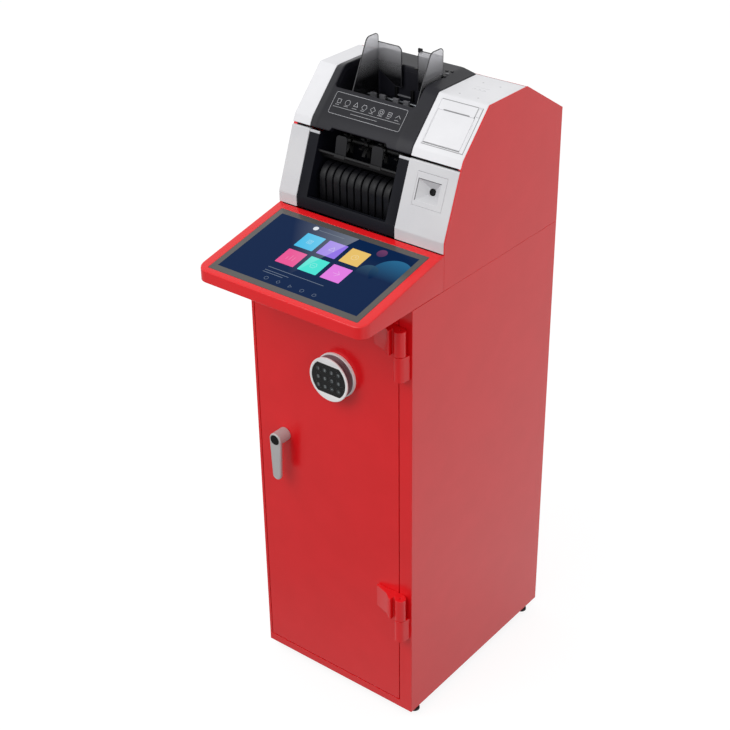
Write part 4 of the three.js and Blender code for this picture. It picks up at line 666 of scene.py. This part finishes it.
scan_x, scan_v, scan_half_x, scan_half_v = 148.5, 86.8, 35, 32.8
scan_ends = [along(knee, lower_turn, scan_v + side * scan_half_v) for side in (-1, 1)]
scan_hole = (scan_x - scan_half_x, scan_x + scan_half_x, scan_ends[0][0], scan_ends[1][0])
right_lower = sheet(
    "right_lower_cover_shell", [span("right_lower_cover")[0].x, *scan_hole[:2], cover_right],
    bent_line([lower_foot, knee, *scan_ends, gap_point, flange_end], [2, 0, 0, 4]), shaded_white,
    [scan_hole])
print_x, print_v, print_half_x, print_half_v = 150, 59.3, 48, 48.5
print_ends = [along(crease, upper_turn, print_v + side * print_half_v) for side in (-1, 1)]
print_hole = (print_x - print_half_x, print_x + print_half_x, print_ends[0][0], print_ends[1][0])
right_upper = sheet(
    "right_upper_cover_shell", [span("right_upper_cover")[0].x, *print_hole[:2], cover_right],
    bent_line([upper_start, crease, *print_ends, shoulder, lid_end], [2, 0, 0, 3]), white_plastic,
    [print_hole])
for piece in (left_lower, left_upper, right_lower, right_upper):
    stand_for(piece, piece.name.removesuffix("_shell"), "white_plastic")

# Counter hood: a black moulded shell that stands 8 mm proud of the covers and slopes down to them at
# its sides. Its mouth has rolled edges, and its front edge is notched over the output pocket.
black_plastic = finish("black_satin_plastic", "#1a1a21", "#16161c", 0.4, 0.25, 0.8, 0.006)
hood_low, hood_high = span("counter_hood")
lid_gap, bend_window = 5, 11
lid_start = gap_point + unit(crease - gap_point) * lid_gap
lid_line = np.array([lid_start, crease, shoulder, lid_end])
lid_steps = np.diff(lid_line, axis=0)
lid_run = np.concatenate([[0], np.cumsum(np.linalg.norm(lid_steps, axis=1))])
first, last = unit(lid_steps)[[0, -1]] * 2 * bend_window
long_line = np.vstack([lid_start - first, crease, shoulder, lid_end + last])
long_run = lid_run + np.array([-1, 0, 0, 1]) * 2 * bend_window


def lid_point(s, w):
    """A point of the lid: s runs back along its side profile, w stands off it. The profile is the mean of
    the straight outline over a window about s, so each corner turns along a parabola."""
    around = s[..., None] + np.linspace(-1, 1, 25) * bend_window
    y, z = (np.interp(around, long_run, line).mean(-1) for line in long_line.T)
    dy, dz = ((np.interp(around + 0.1, long_run, line) - np.interp(around - 0.1, long_run, line)).mean(-1)
              for line in long_line.T)
    size = np.hypot(dy, dz)
    return safe_front + y - w * dz / size, safe_top + z + w * dy / size


def run_at(back):
    """How far along the lid's straight outline a place lies, from its distance behind the safe's front."""
    return np.interp(back, lid_line[:, 0], lid_run)


hood_rise, hood_edge_rise, left_slope, right_slope, slope_window = 8, 1, 22, 31, 4


def hood_height(x):
    """How far the hood stands off the covers: level between its side slopes, with the bends smoothed."""
    stations = [hood_low.x, hood_low.x + left_slope, hood_high.x - right_slope, hood_high.x]
    around = x[..., None] + np.linspace(-1, 1, 17) * slope_window
    return np.interp(around, stations, [hood_edge_rise, hood_rise, hood_rise, hood_edge_rise]).mean(-1)


mouth = rectangle(-140, 59, run_at(208.5), run_at(304))
mouth_corner, mouth_roll, hood_corner, hood_roll, shell = 7, 2.5, 3, 2, 3
hood_corners = rectangle(hood_low.x, hood_high.x, 0, run_at(lid_end[0]))
notch_left, notch_right, notch_depth, notch_ease, front_zone = -108, 36, 7, 5, 20


def notch(x):
    """The front edge's set-back: the notch's depth between its ends, with an S-shaped ease at each."""
    rise = np.clip((x - notch_left) / notch_ease, 0, 1) * np.clip((notch_right - x) / notch_ease, 0, 1)
    return notch_depth * rise * rise * (3 - 2 * rise)


def loop(corners, radius, inset):
    """An outline as outline gives it, with evenly spaced points added on each straight between arcs."""
    arcs = outline(corners, radius, inset).reshape(len(corners), -1, 2)
    start, end = arcs[:, -1], np.roll(arcs, -1, 0)[:, 0]
    share = np.linspace(0, 1, 92)[1:-1][None, :, None]
    return np.concatenate([arcs, start[:, None] + (end - start)[:, None] * share], 1).reshape(-1, 2)


def hood_ring(share, edge_inset=0.0, mouth_inset=0.0, drop=0.0, flat=None):
    """A ring between the hood's edge (share 0) and its mouth (share 1), each drawn in by its inset, a drop
    below the top surface, or at a flat distance from the covers' surface."""
    outer, inner = loop(hood_corners, hood_corner, edge_inset), loop(mouth, mouth_corner, mouth_inset)
    x, s = (outer + (inner - outer) * share).T
    s = s + notch(x) * (outer[:, 1] < front_zone) * (1 - share) ** 2
    y, z = lid_point(s, hood_height(x) - drop if flat is None else flat)
    return at(x, y, z)


hood = skin("hood_shell", [
    hood_ring(0, flat=-shell),
    *[hood_ring(0, inset, 0, -height) for inset, height in round_edges(0, 0, hood_roll)[5:]],
    *[hood_ring(share, hood_roll, -mouth_roll) for share in np.linspace(0, 1, 40)[1:-1]],
    *[hood_ring(1, 0, -inset, height) for inset, height in round_edges(0, 0, mouth_roll)[:5]],
    *[hood_ring(share, flat=-shell) for share in np.linspace(1, 0, 24)[:-1]],
], black_plastic, closed=True, smooth=50)
stand_for(hood, "counter_hood", "black_plastic")


def along_x(y, z, x=0.0, turn=1):
    """Turns (u, v, height) into a point of a form whose axis lies along X, y behind the safe's front and z
    above its top; its heights are counted from x, to the left where the turn is -1."""
    return lambda u, v, w: at(x + turn * w, safe_front + y + u, safe_top + z + v)


rod = sum(span("lid_hinge_rod"), Vector()) / 2
bore, knuckle_radius, knuckle_left, knuckle_right = 1.8, 3, hood_low.x + 15, -37
knuckle = turned("hood_hinge_knuckle", [
    (bore, knuckle_left), (knuckle_radius, knuckle_left), (knuckle_radius, knuckle_right),
    (bore, knuckle_right)], black_plastic, along_x(rod.y - safe_front, rod.z - safe_top), 24, closed=True)
ride_on("lid", "black_plastic", knuckle)

# Printed panel on the hood: a thin light-grey frame with a row of plain symbols, silk-screened.
print_grey = finish("printed_light_grey", "#b9babe", "#b0b1b5", 0.5, grain=0.5, relief=0)
lower_slope, upper_slope = on_slope(*knee, lower_turn), on_slope(*crease, upper_turn)
label_left, label_right, label_low, label_high, symbol = -127, 49, 16.5, 63, 6
frame_points = outline(rectangle(label_left, label_right, label_low, label_high), 4, 0, 4)
labels = {"frame": (0.7, np.hstack([frame_points, np.roll(frame_points, -1, 0)]))}
symbols = [
    polygon(symbol, 4, np.pi / 4), polygon(symbol), polygon(symbol, 3, np.pi / 2),
    polygon(symbol, 6), polygon(symbol, 4), polygon(symbol) + polygon(symbol / 2, 8),
    polygon(symbol, 4, np.pi / 4) + [(-symbol / 2, 0, symbol / 2, 0)],
    [(-symbol, -symbol / 2, 0, symbol / 2), (0, symbol / 2, symbol, -symbol / 2)],
]
step = (label_right - label_left) / (len(symbols) + 0.4)
for i, lines in enumerate(symbols):
    u, v = label_left + step * (i + 0.7), label_low + 28.5
    underline = (-symbol, -8, symbol * (0.4 + 0.2 * (i % 3)), -8)
    labels[f"symbol_{i + 1}"] = 0.7, np.array([*lines, underline]) + [u, v, u, v]
labels["rule"] = 0.6, [(label_left + 5, label_low + 15.5, label_right - 5, label_low + 15.5),
                       (-74, label_low + 8.5, -9, label_low + 8.5)]
hood_face = lambda u, v, w: upper_slope(u, v, w + hood_rise)
for name, (width, lines) in labels.items():
    printed = bars(f"label_{name}", lines, width, 0, 0.08, print_grey, hood_face)
    ride_on("lid", "black_plastic", printed)

# Small moulded clips and rest pads on the hood's flat top, behind and beside its mouth.
hood_top = on_slope(0, shoulder[1] + hood_rise, 0)
grey_pad = finish("grey_pad_plastic", "#6a6a6e", "#646468", 0.5, grain=0.5)
for i, (x, y, half_x, half_y) in enumerate((
        (-49, 301, 4, 3.5), (-10, 301, 4, 3.5), (45, 327, 3, 3), (56, 329.5, 3, 3), (58.5, 299, 4, 3),
        (56, 313, 3.5, 3))):
    corners = rectangle(x - half_x, x + half_x, y - half_y, y + half_y)
    pad = slab(f"hood_top_pad_{i + 1}", corners, 1, -1, 1.2, 0.5, grey_pad if i == 5 else dark_plastic,
               hood_top, 3, 2)
    ride_on("lid", "black_plastic", pad)

# Counter frame: the black cheeks and sill of the output pocket, moulded with the walls behind them. A
# light-grey strip lies along the top of each cheek under the lid. Black strips laid on the lower covers'
# flanges behind the gap are painted shade, which darkens the gap.
frame_black = finish("cheek_black_plastic", "#13141b", "#101117", 0.42, 0.12, 0.8, 0.006)
rounded("counter_frame", 0.8, frame_black, "black_plastic")
cheek_top_grey = finish("light_grey_trim", "#c4c5c9", "#bdbec2", 0.4)
slope_length = np.linalg.norm(gap_point - knee)
for name, x0, x1, front, rear, low, high, material, slot in (
        ("cheek_strip_left", -161.5, -136.5, -6.4, -1, -4.5, -1.2, cheek_top_grey, "black_plastic"),
        ("cheek_strip_right", 62.5, 87.5, -6.4, -1, -4.5, -1.2, cheek_top_grey, "black_plastic"),
        # The two gap strips are black sheets laid where the gap lies in shade: painted shade.
        ("gap_foam_left", -198, -163, -12, 1.8, -12, -10, cap_black, "dark_plastic"),
        ("gap_foam_right", 89.5, 198, -12, 1.8, -12, -10, cap_black, "dark_plastic")):
    strip = slab(name, rectangle(x0, x1, slope_length + front, slope_length + rear),
                 0.4 if material is cheek_top_grey else 0.5, low, high, 0.4, material, lower_slope, 2, 2)
    ride_on("machine", slot, strip)


# Rib comb: ten upright ribs moulded on a curved apron, which hold the stack of notes off the pocket's
# wall. Each is a bar with rounded edges that rises, bends back and ends level, under a fixed cross bar.
def swept(name, path, section, x, material):
    """A bar carried along a path of (y, z) points: section rows are (across X, out of the path), and the
    path's normal is its direction turned a quarter circle towards the front."""
    normal = unit(np.gradient(path, axis=0))[:, ::-1] * [-1, 1]
    across, out = np.array(section).T
    return skin(name, at(x + across, path[:, :1] + normal[:, :1] * out, path[:, 1:] + normal[:, 1:] * out),
                material)


comb_low, comb_high = span("rib_comb")
rib_radius, rib_corner, rib_width, rib_depth, rib_pitch = 30, 2.2, 15, 6.5, 18
bow = np.linspace(0, np.pi / 2, 20)
bow_y, bow_z = comb_low.y + rib_radius, comb_high.z - rib_radius
rib_path = np.vstack([
    np.column_stack([np.full(6, comb_low.y), np.linspace(comb_low.z, bow_z, 7)[:-1]]),
    np.column_stack([bow_y - rib_radius * np.cos(bow), bow_z + rib_radius * np.sin(bow)]),
    np.column_stack([np.linspace(bow_y, comb_high.y, 6)[1:], np.full(5, comb_high.z)])])
rib_section = outline(rectangle(-rib_width / 2, rib_width / 2, -rib_depth, 0),
                      [0.3, 0.3, rib_corner, rib_corner], 0, 5)
inner_black = finish("inner_black_plastic", "#0c0c10", "#09090c", 0.4, 0.25, 0.7)
comb_middle, apron_half = (comb_low.x + comb_high.x) / 2, (comb_high.x - comb_low.x) / 2
for i in range(10):
    rib = swept(f"comb_rib_{i + 1}", rib_path, rib_section, comb_middle + (i - 4.5) * rib_pitch, inner_black)
    ride_on("machine", "dark_plastic", rib)
apron = swept("comb_apron", rib_path, outline(rectangle(-apron_half, apron_half, -8, -5), 0.3), comb_middle,
              inner_black)
stand_for(apron, "rib_comb", "dark_plastic")
stops_low, stops_high = span("note_stops")
cross_bar = slab("comb_cross_bar", rectangle(-4, 4, -4, 4), 1.5, stops_low.x, stops_high.x, 0.3, cap_black,
                 along_x(158, 179), 3)
ride_on("machine", "dark_plastic", cross_bar)

# Note stops: two smoked plates with round top corners that lean back, clipped to a shaft across the
# pocket. The bank-note stack rests against them.
smoked_stop = finish("smoked_stop_plastic", "#1b1b1e", "#18181a", 0.3, 0.2, 1.5, 0, spread=0.01)
shaft_y, shaft_z, stop_spread = 146, 191, 45
tab_half, tab_height, tab_back, tab_corner, tab_lean = 13.75, 41, 1.2, 7, radians(11)
for side, shift in (("left", -stop_spread), ("right", stop_spread)):
    leaning = moved(on_slope(shaft_y, shaft_z, np.pi / 2 - tab_lean), comb_middle + shift)
    tab = slab(f"note_stop_tab_{side}", rectangle(-tab_half, tab_half, -3, tab_height),
               [1, 1, tab_corner, tab_corner], -tab_back, tab_back, 0.7, smoked_stop, leaning)
    foot_bar = slab(f"note_stop_foot_{side}", rectangle(-tab_half, tab_half, -4, 3), 1.5, tab_back,
                    tab_back + 2.6, 0.7, dark_plastic, leaning)
    ride_on("note_stops", "smoked_plastic", tab, foot_bar)
shaft = turned("note_stop_shaft", [(3, stops_low.x), (3, stops_high.x)], dark_plastic,
               along_x(shaft_y, shaft_z), 24)
stand_for(shaft, "note_stops", "smoked_plastic")

# Stacker wheels: dark rubber wheels with eight fins that lay the notes down behind the stops.
dark_rubber = finish("dark_rubber", "#151516", "#111112", 0.6, grain=0.8, relief=0.03)
rounded("stacker_wheels", 0.4, dark_rubber, "grey_rubber")

# Hopper: a black moulded tub under the hood's mouth, with grey feed rollers that stand up through its
# floor, and the steel rail that the note guides slide on. Its rear wall carries the sensor bracket.
rounded("hopper_tub", 0.5, black_plastic, "dark_plastic")
grey_rubber = finish("grey_rubber", "#b8b8bb", "#b0b0b3", 0.6, grain=0.8, relief=0.03)
rounded("feed_rollers", 0.4, grey_rubber, "grey_rubber")
rear_wall, tub_floor = on_slope(304, 0, np.pi / 2), on_slope(0, 0, 0)
for i, x in enumerate((-61, -21)):
    strip = slab(f"hopper_rear_strip_{i + 1}", rectangle(x - 3.5, x + 3.5, 272, 295.5), 1, -0.5, 4,
                 0.6, cap_black, rear_wall, 3)
    ride_on("lid", "dark_plastic", strip)
bracket = slab("hopper_sensor_bracket", rectangle(-57.5, -24.5, 277, 280), 0.8, 0, 3, 0.6, grey_pad,
               rear_wall, 3)
ride_on("lid", "dark_plastic", bracket)
for i, x in enumerate((-101, -78, -44, -18)):
    block = slab(f"hopper_floor_block_{i + 1}", rectangle(x - 7, x + 7, 275.5, 281.5), 1.5, 261, 281, 1,
                 grey_pad, tub_floor, 4)
    ride_on("lid", "grey_rubber", block)

# Note guides: smoked clear plates, one along each end of the notes with a back plate behind them. They
# are moulded together with a sleeve round the rail, and their sawn rims look dark. Their colour is painted
# light at the top, as the white surround seen through them, and painted dark lower down, as the dark pocket.
guide_front, guide_top, through_light_depth = 214, 400, 85
smoked_plastic = finish("smoked_clear_plastic", "#c2c2c6", "#bcbcc0", 0.1, grain=2, relief=0, spread=0,
                        Transmission_Weight=0.6, IOR=1.3)
# Painted light and shade: the plates' colour runs from dark at the foot to light at the top, for what shows
# through them.
tree = smoked_plastic.node_tree
z = node(tree, "SeparateXYZ", [node(tree, "TexCoord")["Object"]])["Z"]
through_light_share = node(tree, "MapRange", [
    z, (safe_top + guide_top - through_light_depth) * MM, (safe_top + guide_top) * MM])[0]
through_light_colour = node(tree, "ValToRGB", [through_light_share], [(0.0, "#1f1f22"), (1.0, "#e6e6ea")])["Color"]
feed(tree, tree.nodes["Principled BSDF"], {"Base Color": through_light_colour})
dark_rim = finish("smoked_plastic_rim", "#26262a", "#202024", 0.3, grain=1, relief=0)


def rimmed(name, corners, radius, place, thickness=2, edge=0.5, rim=1.5):
    """A smoked plate with rounded edges over an outline. All of it but the two flat faces inside a narrow
    rim takes the dark rim's material."""
    half = [(rim, 0), (edge, 0), (0.3 * edge, 0.3 * edge), (0, edge)]
    pairs = half + [(inset, thickness - height) for inset, height in half[::-1]]
    radius = np.maximum(radius, rim + 0.1)
    plate = skin(name, [place(*outline(corners, radius, inset, 10).T, height) for inset, height in pairs],
                 smoked_plastic)
    plate.data.materials.append(dark_rim)
    index = np.ones(len(plate.data.polygons), int)
    index[-2:] = 0
    plate.data.polygons.foreach_set("material_index", index)
    return plate


for side, x, turn, rear in (("left", -105, 1, 299), ("right", 54, -1, 302.5)):
    corners = [(224, 283), (282.5, 283), (287.25, 267.25), (rear, 267.25), (rear, guide_top),
               (262, guide_top), (guide_front, 300)]
    plate = rimmed(f"note_guide_plate_{side}", corners, [2, 1, 1, 1, 10, 15, 4], along_x(0, 0, x, turn))
    stand_for(plate, f"note_guide_{side}", "smoked_plastic")
    behind = lambda u, v, w: at(x + turn * u, safe_front + rear - w, safe_top + v)
    back = rimmed(f"note_guide_back_{side}", [(0.1, 325), (45, 297), (61, 297), (61, 382), (0.1, 382)],
                  [1, 3, 3, 11, 2], behind)
    sleeve = turned(f"note_guide_sleeve_{side}", [(3.1, 0), (5.5, 0), (5.5, 30), (3.1, 30)], dark_plastic,
                    along_x(290, 270, x, turn), 32, closed=True)
    ride_on(f"guide_{side}", "smoked_plastic", back, sleeve)
pin = slab("note_guide_pin", rectangle(-7, 3, 377, 386), 1, -4, -0.7, 0.6, dark_plastic,
           on_slope(300, 0, np.pi / 2), 3)
ride_on("guide_right", "smoked_plastic", pin)

# Receipt printer: a white moulded case let into the upper cover. Its flush door tilts forward over the
# roll behind it, a button beside it lets it go, and the paper comes out of a slot above it.
for name in ("printer_case", "printer_door", "printer_button"):
    rounded(name, 0.7, white_plastic, "white_plastic", whole=False)
seam_shade_grey = finish("soft_grey_gasket", "#98989a", "#919193", 0.6, 0.2)
dark_slot = finish("paper_slot_shade", "#58585b", "#525255", 0.7, 0.1)
white_paper = finish("white_paper", "#f2f0ec", "#ecebe6", 0.85, grain=0.4)
on_print = moved(upper_slope, print_x)
# Grey bars along the seams of the case, the door and the button are painted shade where the gaps lie, and a
# wider grey bar is the paper slot's painted shade.
seams = [(-print_half_x, 10.9, print_half_x, 10.9), (print_half_x, 10.9, print_half_x, 107.5),
         (2 - print_half_x, 107.5, print_half_x - 12, 107.5), (37.6, 88, 37.6, 106),
         (-46.2, 13.7, 38.7, 13.7)]
seam_shade = bars("printer_gasket", seams, 1.5, -0.6, 0.12, seam_shade_grey, on_print)
slot_shade_bar = bars("printer_paper_slot", [(-33.1, 86.3, 25.6, 86.3)], 1.8, -1.2, 0.1, seam_shade_grey, on_print)
rounded("paper_roll", 0.3, white_paper, "white_paper")
button_spot = turned("printer_button_spot", [(1.2, 0), (1.2, 0.15)], dark_slot,
                     moved(on_print, 37.6, 86), 24)
ride_on("lid", "white_plastic", seam_shade, slot_shade_bar, button_spot)

# Shallow screw marks and a faint moulded pattern on the flat top of the right cover.
cover_top = on_slope(*shoulder, 0)
faint_grey = finish("faint_grey_mark", "#bdbdc0", "#b7b7ba", 0.5)
for i, (x, y) in enumerate(((128, 93), (168, 93), (125, 18), (168, 18))):
    mark = turned(f"cover_screw_mark_{i + 1}", [(2, 0), (2, 0.1)], faint_grey, moved(cover_top, x, y), 24)
    ride_on("lid", "white_plastic", mark)
pattern = [(x, y, x + 7, y + rise) for x in (130, 141, 152) for y, rise in ((52, 4), (59, -3), (66, 3))]
ride_on("lid", "white_plastic", bars("cover_top_pattern", pattern, 0.8, 0, 0.1, faint_grey, cover_top))

# Code scanner: a white moulded housing in the lower cover, its window sunk as a four-sided funnel with
# a small black lens at its floor. A dark line along the window's left and top edges is painted shade.
# The housing takes the greyer copy of the white: painted shade.
rounded("scanner_housing", 0.4, shaded_white, "white_plastic")
left, right, foot, top = scan_x - 29.8, scan_x + 23.2, scan_v - 22.8, scan_v + 19.6
window_edge_shade = bars("scanner_window_rim", [(left, foot, left, top), (left, top, right, top)], 1.2, -0.6, 0.15,
                  dark_slot, lower_slope)
ride_on("machine", "white_plastic", window_edge_shade)
lens = sum(span("scanner_lens"), Vector()) / 2
lens_ring = turned("scanner_lens_ring", [
    (3.2, 1.1), (7.2, 1.1), (7.2, 2.2), (6.6, 2.8), (5.4, 2.8), (4.6, 1.8), (3.2, 1.8)], cap_black,
    moved(on_slope(lens.y - safe_front, lens.z - safe_top, lower_turn), lens.x), 48, closed=True)
ride_on("machine", "black_plastic", lens_ring)
lens_glass = finish("lens_glass", "#0b0b10", "#08080c", 0.12, 0.2, 1, 0, spread=0.01)
rounded("scanner_lens", 0.3, lens_glass, "lens_glass")

# Studio: a pale floor, a white surround and two soft lamps, all in metres, as the camera is. The camera,
# mirrors and clear plates see plain white. Soft light falls from the surround and only weakly from the
# floor, as on a dark stage.
scene = bpy.context.scene
scene.view_settings.view_transform = "Standard"
scene.world = bpy.data.worlds.new("studio")
scene.world.use_nodes = True
surround_level, floor_white, floor_half = 0.8, 0.86, 6.0


def seen_directly(tree):
    """A share that is 1 for the rays of the camera, of mirrors and of clear surfaces, and 0 for the rest."""
    rays = node(tree, "LightPath")
    seen = rays["Is Camera Ray"]
    for kind in ("Glossy", "Transmission"):
        seen = node(tree, "Math", [seen, rays[f"Is {kind} Ray"]], operation="MAXIMUM")[0]
    return seen


tree = scene.world.node_tree
level = node(tree, "MapRange", [seen_directly(tree), 0.0, 1.0, surround_level, 1.0])[0]
feed(tree, tree.nodes["Background"], {"Color": (1, 1, 1, 1), "Strength": level})

bpy.ops.mesh.primitive_plane_add(size=2 * floor_half)
floor = bpy.context.object
floor.name = "studio_floor"
floor_material, tree, shader = new_material("studio_floor")
# Mirrors see a dimmer floor in front of the machine and to its left, as with a dark cloth laid there.
x, y = node(tree, "SeparateXYZ", [node(tree, "TexCoord")["Object"]])[:2]
corner = node(tree, "Math", [x, y], operation="ADD")[0]
cloth = node(tree, "MapRange", [corner, -0.8, 0.8, 0.35, 1.0])[0]
shade = node(tree, "MapRange", [node(tree, "LightPath")["Is Glossy Ray"], 0.0, 1.0, floor_white, cloth])[0]
feed(tree, shader, {
    "Base Color": linear("#7a7a7a"), "Roughness": 1.0, "Specular IOR Level": 0.0,
    "Emission Color": (1, 1, 1, 1),
    "Emission Strength": node(tree, "Math", [seen_directly(tree), shade], operation="MULTIPLY")[0]})
floor.data.materials.append(floor_material)

# Two square soft lamps aimed at the machine: a key lamp ahead and above, a weak fill at its right.
for name, place, size, power in (
        ("key_lamp", (-0.9, -2.9, 3.4), 2.4, 56), ("fill_lamp", (3.2, -0.8, 1.8), 2.0, 8)):
    light = bpy.data.lights.new(name, "AREA")
    light.size = size
    light.energy = power
    lamp = bpy.data.objects.new(name, light)
    lamp.location = place
    lamp.rotation_euler = (Vector((0, 0, 0.8)) - lamp.location).to_track_quat("-Z", "Y").to_euler()
    scene.collection.objects.link(lamp)

# Camera: above the machine's right front corner, looking down without a roll, with the view shifted a
# little off the axis.
camera_data = bpy.data.cameras.new("camera")
camera = bpy.data.objects.new("camera", camera_data)
scene.collection.objects.link(camera)
scene.camera = camera
picture, focal, centre_x, centre_y = 730, 1524.1, 404.2, 374.15
azimuth, elevation = radians(37.21), radians(30.77)
camera_data.sensor_width = 36
camera_data.lens = camera_data.sensor_width * focal / picture
camera_data.shift_x = -(centre_x - picture / 2) / picture
camera_data.shift_y = (centre_y - picture / 2) / picture
camera.location = (1.7202, -2.1947, 2.3974)
back = Vector((sin(azimuth) * cos(elevation), -cos(azimuth) * cos(elevation), sin(elevation)))
camera.rotation_euler = back.to_track_quat("Z", "Y").to_euler()
